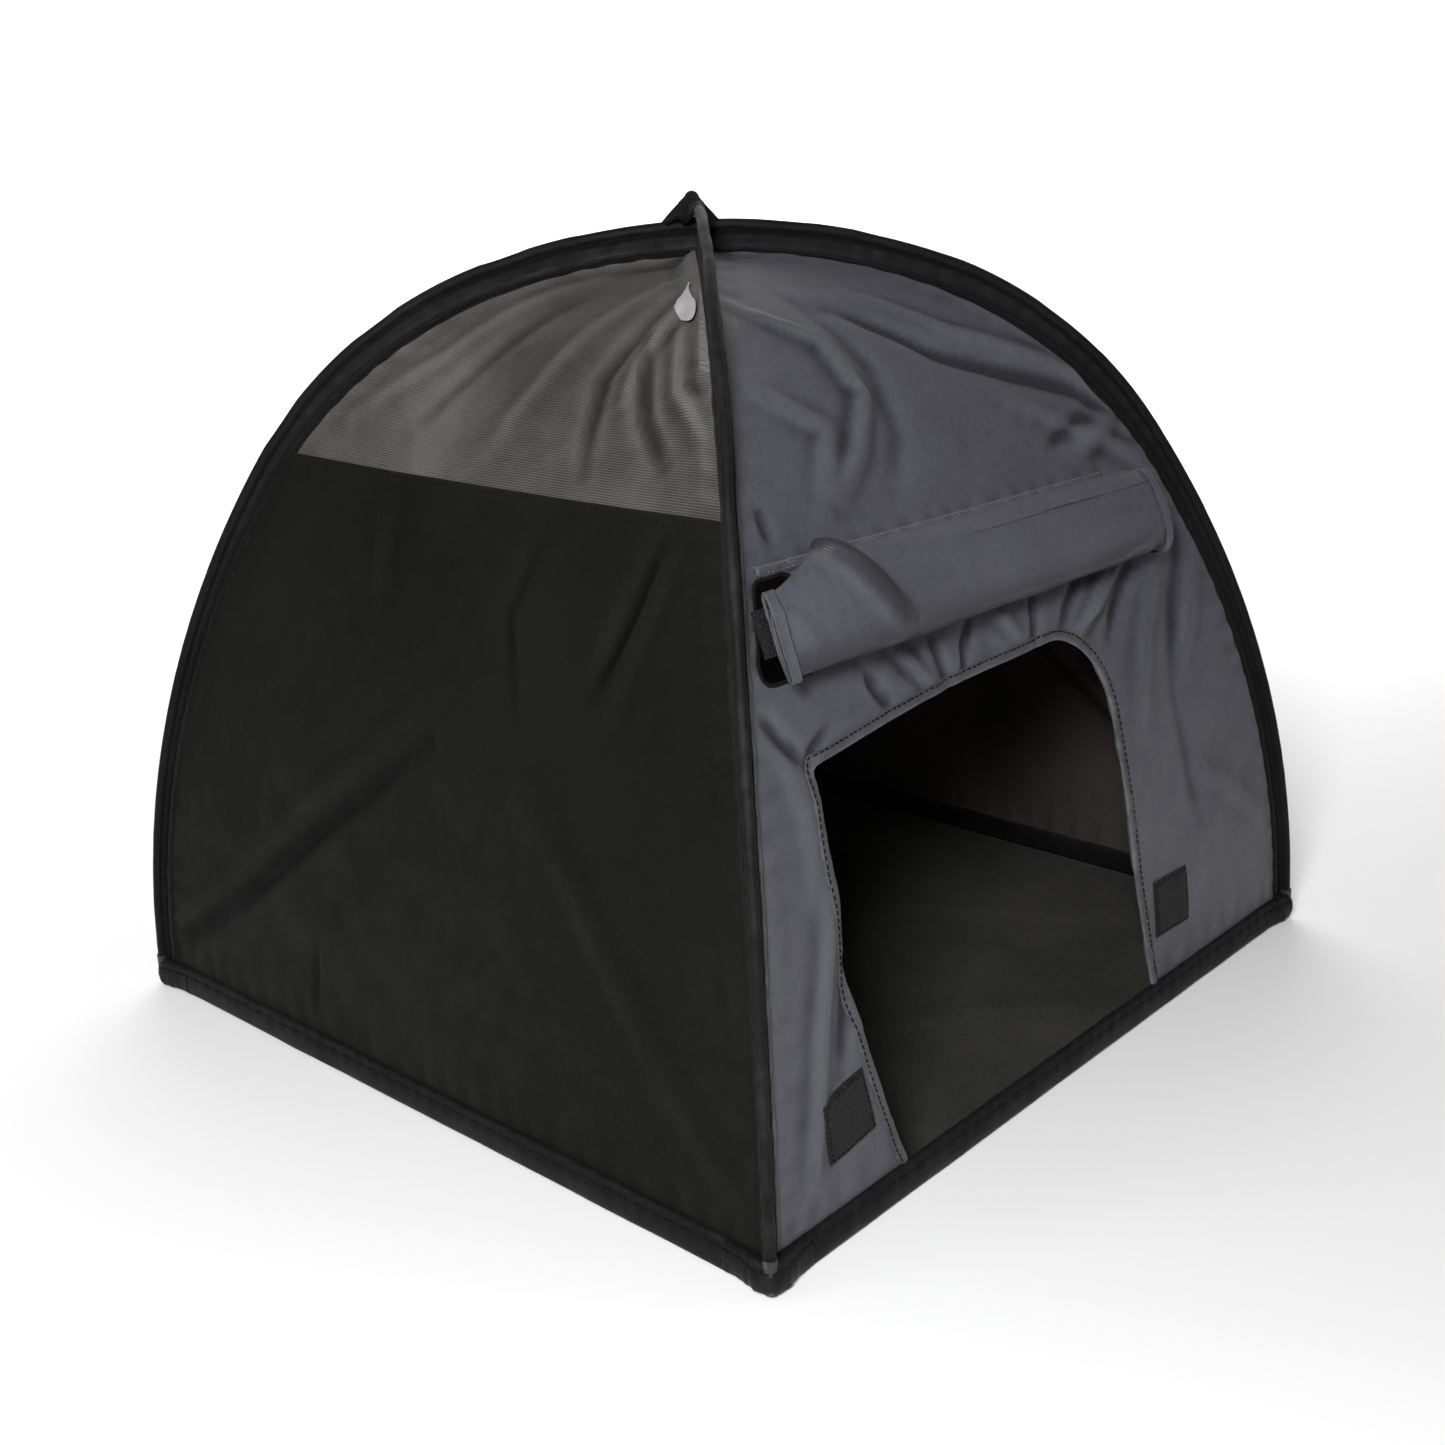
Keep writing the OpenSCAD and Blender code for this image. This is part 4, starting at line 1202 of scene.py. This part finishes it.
def pocket(name, sx, sy, seed):
    """Turned corner of the hem, which holds a rod's foot: the hem tube round a swollen, pleated corner."""
    out, high, a = hem_section(36)
    arm, k = 0.1762, 0.1950
    line = [(arm, HALF - 0.003), (0.186, HALF - 0.003), (k - 0.001, HALF - 0.0025), (k + 0.0022, k + 0.0022),
            (HALF - 0.0025, k - 0.001), (HALF - 0.003, 0.186), (HALF - 0.003, arm)]
    line = resample(rounded(line, 0.006), 0.0012)
    for _ in range(3):
        line[1:-1] = (line[:-2] + 2 * line[1:-1] + line[2:]) / 4
    normal = left_of(line)
    if normal[0, 1] < 0:
        normal = -normal
    d = np.abs(line[:, 0] - line[:, 1])
    bulge = bell(d, 0.011)
    n = len(line)
    run = np.linspace(0, 1, n)
    wide = 1 + 0.85 * bulge
    pleat = 0.00042 * np.cos(run * ALL_ROUND * 9 + seed) * bulge
    rough = pleat[:, None] + 0.0003 * noise(run[:, None] * 0.04, a[None, :] * 0.003, 0.005, seed)
    o = out[None, :] * wide[:, None] + rough * np.clip(np.cos(a) * 0.7 + 0.5, 0, 1)[None, :]
    shift = 0.0004 * bulge
    p = line[:, None, :] + normal[:, None, :] * (o + shift[:, None])[..., None]
    h = HEM_H / 2 + high[None, :] * (1 - 0.03 * bulge[:, None])
    h = h + 0.0005 * bulge[:, None] * np.cos(run * 40)[:, None] * (high > 0)[None, :]
    p = np.minimum(p, 0.2035)
    rings = np.stack([sx * p[..., 0], sy * p[..., 1], np.clip(h, 0.0001, HEM_H)], axis=-1)
    shape = Shape()
    wear_and_shade = np.clip(bulge[:, None] * 0.5, 0, 1) * (np.cos(a) > 0.2)[None, :]
    tube(shape, rings, HEM_GIRTH, wear_and_shade=wear_and_shade)
    lp = line + normal * ((out.max() - 0.0004) * wide + shift + pleat * 0.8)[:, None]
    stitch = np.stack([sx * lp[:, 0], sy * lp[:, 1], np.full(n, HEM_H / 2 + 0.0034)], axis=-1)
    nor = np.stack([sx * normal[:, 0], sy * normal[:, 1], np.zeros(n)], axis=-1)
    stitches(shape, stitch, nor, pitch=0.0026)
    still(shape.make(f"{name}_cloth", [FIN, THREAD_DARK], outward=True), "shelter", name)


for k, (name, sx, sy) in enumerate((("front_left", -1, -1), ("front_right", 1, -1), ("back_right", 1, 1),
                                    ("back_left", -1, 1))):
    pocket(f"corner_pocket_{name}", sx, sy, 500 + 7 * k)


# ---------------------------------------------------------------- the rolled door
def roll_point(x, y, z):
    """The roll's own frame: y in towards the wall, z up along it, from the middle of the roll."""
    c, s = math.cos(ROLL_TILT), math.sin(ROLL_TILT)
    x, z = (ROLL_MID + (x - ROLL_MID) * math.cos(ROLL_LEAN) + z * math.sin(ROLL_LEAN),
            z * math.cos(ROLL_LEAN) - (x - ROLL_MID) * math.sin(ROLL_LEAN))
    depth = -(WALL_ARC + ROLL_OFF + ROLL_D / 2) + y
    y, z = PIVOT_Y + depth * c + z * s, PIVOT_Z - depth * s + z * c
    return np.stack(np.broadcast_arrays(x, y, z), axis=-1)


OUT_OF_WALL = Vector((0, -math.cos(ROLL_TILT), math.sin(ROLL_TILT)))
BACK_OF_ROLL = tuple(roll_point(0.0, ROLL_D / 2, 0.0))


# Folds of the roll, with points (along it, round it) in mm; the first is the deep dent near its left end
ROLL_CREASES = [
    ([(-117, -8), (-108, 4), (-99, 13), (-88, 22), (-78, 28)], -8.0, 4.4),
    ([(-127, 1), (-120, 10), (-117, 22), (-119, 36)], 1.6, 4.5),
    ([(-143, 10), (-135, 18), (-127, 30)], -1.0, 3),
    ([(-106, 28), (-96, 34), (-80, 38)], -1.2, 3),
    ([(-86, 10), (-50, 13), (-20, 12)], -0.8, 2.6),
    ([(106, 26), (90, 30), (50, 34)], -0.9, 3),
    ([(-90, 34), (-20, 32), (60, 34), (104, 32)], -0.6, 1.8),
    ([(20, 14), (60, 18), (90, 16)], -0.9, 4),
]


def roll_radius(x, turned):
    """How far the soft roll's skin stands from its ideal one: swells, and folds that spiral along it."""
    around = turned * 0.013
    swell = 0.55 * mm * noise(x, around, 0.034, 601) + 0.30 * mm * noise(x, around, 0.012, 602)
    return swell + creased(x, around, ROLL_CREASES)


def stadium(turned, inset, x):
    """Section of the roll, pinched flat at the left; turned is the angle from its top, out over the front."""
    t = turned + math.pi / 2
    r = np.maximum(ROLL_D / 2 - inset, 0.0012)
    tall = (ROLL_H / 2 - ROLL_D / 2) * (1 - inset / 0.045)
    lean = np.sin(t) * (1.12 - 0.12 * np.sin(t) ** 2)
    full = smooth((x - ROLL_X0 + 0.004) / 0.036)
    taper = 1 - 0.05 * smooth((x - 0.02) / 0.09)
    high = (tall * lean + r * np.sin(t)) * taper
    peak = 0.0016 * bell(x + 0.114, 0.009) - 0.0065 * (1 - smooth((x - ROLL_X0 - 0.002) / 0.026))
    return r * np.cos(t) * (0.13 + 0.87 * full), high + peak * smooth(high / 0.014)


def roll_skin(x, turned, inset, skin):
    """A point of the roll's skin, moved out by skin."""
    y, z = stadium(turned, inset, x)
    next_y, next_z = stadium(turned + 0.01, inset, x)
    size = np.hypot(next_z - z, next_y - y)
    return roll_point(x, y - (next_z - z) / size * skin, z + (next_y - y) / size * skin)


def on_roll(obj, node):
    """A piece of the rolled flap, which rides the door flap's body with a mesh of its own."""
    still(obj, "door_flap", node)
    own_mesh(obj)
    return obj


def door_roll():
    turns, layer = 3.05, 0.0018
    rows, cols = 290, 200
    turned = np.linspace(-0.25, turns * ALL_ROUND, rows)[:, None]
    part = np.clip(turned / (ALL_ROUND), 0, None)
    x = np.linspace(0, 1, cols)[None, :]
    inset = 0.0005 + layer * part
    left = ROLL_X0 + 0.0012 + 0.0130 * smooth((part - 0.9) / 0.5) + 0.0008 * np.sin(turned * 1.3)
    right = ROLL_X1 - 0.0012 - 0.0015 * part + 0.0008 * np.sin(turned * 1.7 + 1)
    xx = left + (right - left) * x
    ends = 0.0009 * (1 - smooth((ROLL_X1 - xx) / 0.012))
    skin = np.clip(roll_radius(xx, turned % ALL_ROUND), -0.0075, 0.0004) * np.clip(1 - part * 0.2, 0.25, 1)
    y, z = stadium(turned, inset + ends, xx)
    run = run_along(np.stack([y, z], axis=-1)[:, cols // 2])
    # painted shade: darker along the underside of the roll, in its dents, and a little on its top
    painted_shade = smooth(-(z + 0.004) / 0.015) * 0.85 + smooth(-(skin + 0.0010) / 0.0035)
    painted_shade = painted_shade + 0.15 * smooth((z - 0.008) / 0.01)
    co = roll_skin(xx, turned, inset + ends, skin)
    shape = Shape().add(co, grid_faces(rows, cols)[:, ::-1], pairs(xx, run[:, None]), -np.clip(painted_shade, 0, 1))
    obj = shape.make("door_roll_cloth", [NYLON, NYLON_IN])
    solid(obj, INNER_SKIN)
    return on_roll(obj, "door_roll")


door_roll()


def end_band(name, x0, node, seed):
    """The flap's bound side edge, seen as a band of layers at the end of the roll."""
    m, k = 96, 9
    turned = np.linspace(0, ALL_ROUND, m, endpoint=False)[:, None]
    q = np.linspace(0, 1, k)[None, :]
    x = x0 + 0.005 * q + 0.0004 * noise(turned * 0.01, q * 0, 0.006, seed)
    bulge = 0.00015 * np.sin(math.pi * q) ** 0.5
    _, z = stadium(turned, 0.0003, x)
    ends = 0.0007 * (1 - smooth((ROLL_X1 - x) / 0.012))
    skin = np.clip(roll_radius(x, turned % ALL_ROUND), -0.004, 0.0004) - ends + bulge
    skin = skin + 0.00022 * noise(turned * 0.014, x, 0.0022, seed + 1)
    outer, inner = (roll_skin(x, turned, 0.0003, skin - deep) for deep in (0, INNER_SKIN))
    rings = np.concatenate([outer, inner[:, ::-1]], axis=1)
    shape = Shape()
    # a little rubbed wear across the middle of the band, and painted shade along the roll's underside
    wear_and_shade = 0.3 * np.sin(math.pi * q) ** 2 - 0.8 * smooth(-(z + 0.004) / 0.015)
    tube(shape, rings, 0.011, True, np.concatenate([wear_and_shade, np.zeros((m, k))], axis=1))
    for at in (2, 6):
        line = np.vstack([outer[:, at], outer[:1, at]])
        nor = unit(np.cross(np.gradient(line, axis=0), np.array([1.0, 0, 0])))
        if (nor[m // 4] @ np.array(OUT_OF_WALL)) < 0:
            nor = -nor
        stitches(shape, line, nor, pitch=0.0026)
    on_roll(shape.make(name, [NYLON, THREAD_DARK], outward=True), node)


end_band("roll_edge_binding_left", ROLL_X0 + 0.0004, "roll_binding_left", 611)
end_band("roll_edge_binding_right", ROLL_X1 - 0.0054, "roll_binding_right", 621)


def loop_patch(name, x, node):
    """Loop square sewn to the flap, which lies against the wall when the flap is rolled."""
    n, half_w, half_h = 25, 0.0132, 0.0088
    q = np.linspace(-1, 1, n)
    p, r = np.meshgrid(q, q, indexing="ij")
    px, pz = x + p * half_w, r * half_h
    rim = np.minimum((1 - np.abs(p)) * half_w, (1 - np.abs(r)) * half_h)
    lift = 0.0003 + 0.0010 * smooth(rim / 0.0012) ** 0.6 + 0.0001 * noise(px, pz, 0.001, 4)
    step = 0.0007 * (1 - smooth((px - ROLL_X0 - 0.0045) / 0.002))
    shape = Shape()
    shape.add(roll_point(px, ROLL_D / 2 + lift * 0.75 + step, pz), grid_faces(n, n), pairs(px, pz))
    shape.add(roll_point(px, ROLL_D / 2 - 0.0003 + step, pz), grid_faces(n, n)[:, ::-1], pairs(px, pz))
    on_roll(shape.make(name, [HOOKS]), node)


loop_patch("flap_loop_patch_left", ROLL_X0 + 0.0140, "flap_loop_left")
loop_patch("flap_loop_patch_right", 0.088, "flap_loop_right")

# the flap from its seam, out over the top of the roll
rows, cols = 46, 190
control = np.array([(9.9, 21.1), (8.8, 21.3), (6.0, 21.2), (3.0, 20.8), (0.0, 20.2), (-2.3, 19.2),
                    (-4.4, 16.8), (-6.1, 12.9)]) * mm
path = resample(rounded(control, 0.003), 0.00055)
path = resample(path, run_along(path)[-1] / (rows - 1))
rows = len(path)
x = np.linspace(ROLL_X0 + 0.0340, ROLL_X1 - 0.0065, cols)[None, :]
f = np.linspace(0, 1, rows)[:, None]
drop = 0.00035 * noise(x, f * 0.022, 0.012, 640) * np.sin(math.pi * f) - 0.0007 * pinches(x) * bell(f, 0.35)
drop = drop + np.clip(roll_radius(x, 0.35 + 0 * x), -0.004, 0.0004) * smooth((f - 0.35) / 0.6) * 0.9
co = roll_point(x + 0 * f, path[:, None, 0] + 0 * x, path[:, None, 1] + np.clip(drop, -0.0040, 0.0005))
flap = Shape().add(co, grid_faces(rows, cols)[:, ::-1], pairs(x, f * 0.026))
obj = flap.make("flap_sheet_cloth", [NYLON, NYLON_IN])
solid(obj, 0.0005)
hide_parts("flap_sheet")
tuple(roll_point(0.0, 0.0088, 0.0213))
tuple(roll_point(0.0, -0.0055, 0.0145))
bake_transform(obj)

# band of stitching that sews the flap to the wall
band = Shape()
line_w = np.linspace(ROLL_MID + 0.1156, ROLL_MID - 0.1156, 170)
path = np.stack([line_w, s_of(seam_height(line_w) + 0.0024)], axis=1)
normal = left_of(path)
across, lift = strip_section(0.0048, 0.0014, 0.0003)
at = path[:, None] + normal[:, None] * across[None, :, None]
wave = 1 + 0.2 * noise(path[:, :1], across[None, :], 0.006, 77)
wear_and_shade = bell(across - 0.0008, 0.001)[None, :] * 0.6
tube(band, wall("front", at[..., 0], at[..., 1], lift[None, :] * wave), 0.0096, wear_and_shade=wear_and_shade)
for way in (0.0010, 0.0036):
    wall_stitches(band, "front", path + normal * way, 0.0012)
band = band.make("flap_seam_band", [NYLON, THREAD], outward=True)
still(band, "door_head", "flap_seam")
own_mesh(band)

# ---------------------------------------------------------------- the two rods
for which, rise in (("upper", CROSS_RISE), ("lower", 0.0)):
    arch = Arch(DIAG - 0.0025, CROWN_H + rise - 0.0034)
    u, z, nu, nz = arch.at(np.linspace(0, 2 * arch.half, 460))
    high = z >= 0.005
    u, z, nu, nz = (part[high][:, None, None] for part in (u, z, nu, nz))
    round_it = np.linspace(0, ALL_ROUND, 18, endpoint=False)[None, :, None]
    along, across = UP[which]
    bar = Shape()
    skin = np.cos(round_it) * (nu * along + nz * K) + np.sin(round_it) * across
    tube(bar, u * along + z * K + ROD_R * skin, ROD_GIRTH)
    press(bar.make(f"rod_{which}_bar", [ROD], outward=True), f"pole_rod_{which}")

# ---------------------------------------------------------------- CAD nodes that stay: the rods' tips
for corner in ("front_left", "front_right", "back_right", "back_left"):
    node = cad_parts[f"pole_tip_{corner}"]
    node.data.materials.clear()
    node.data.materials.append(TIP)
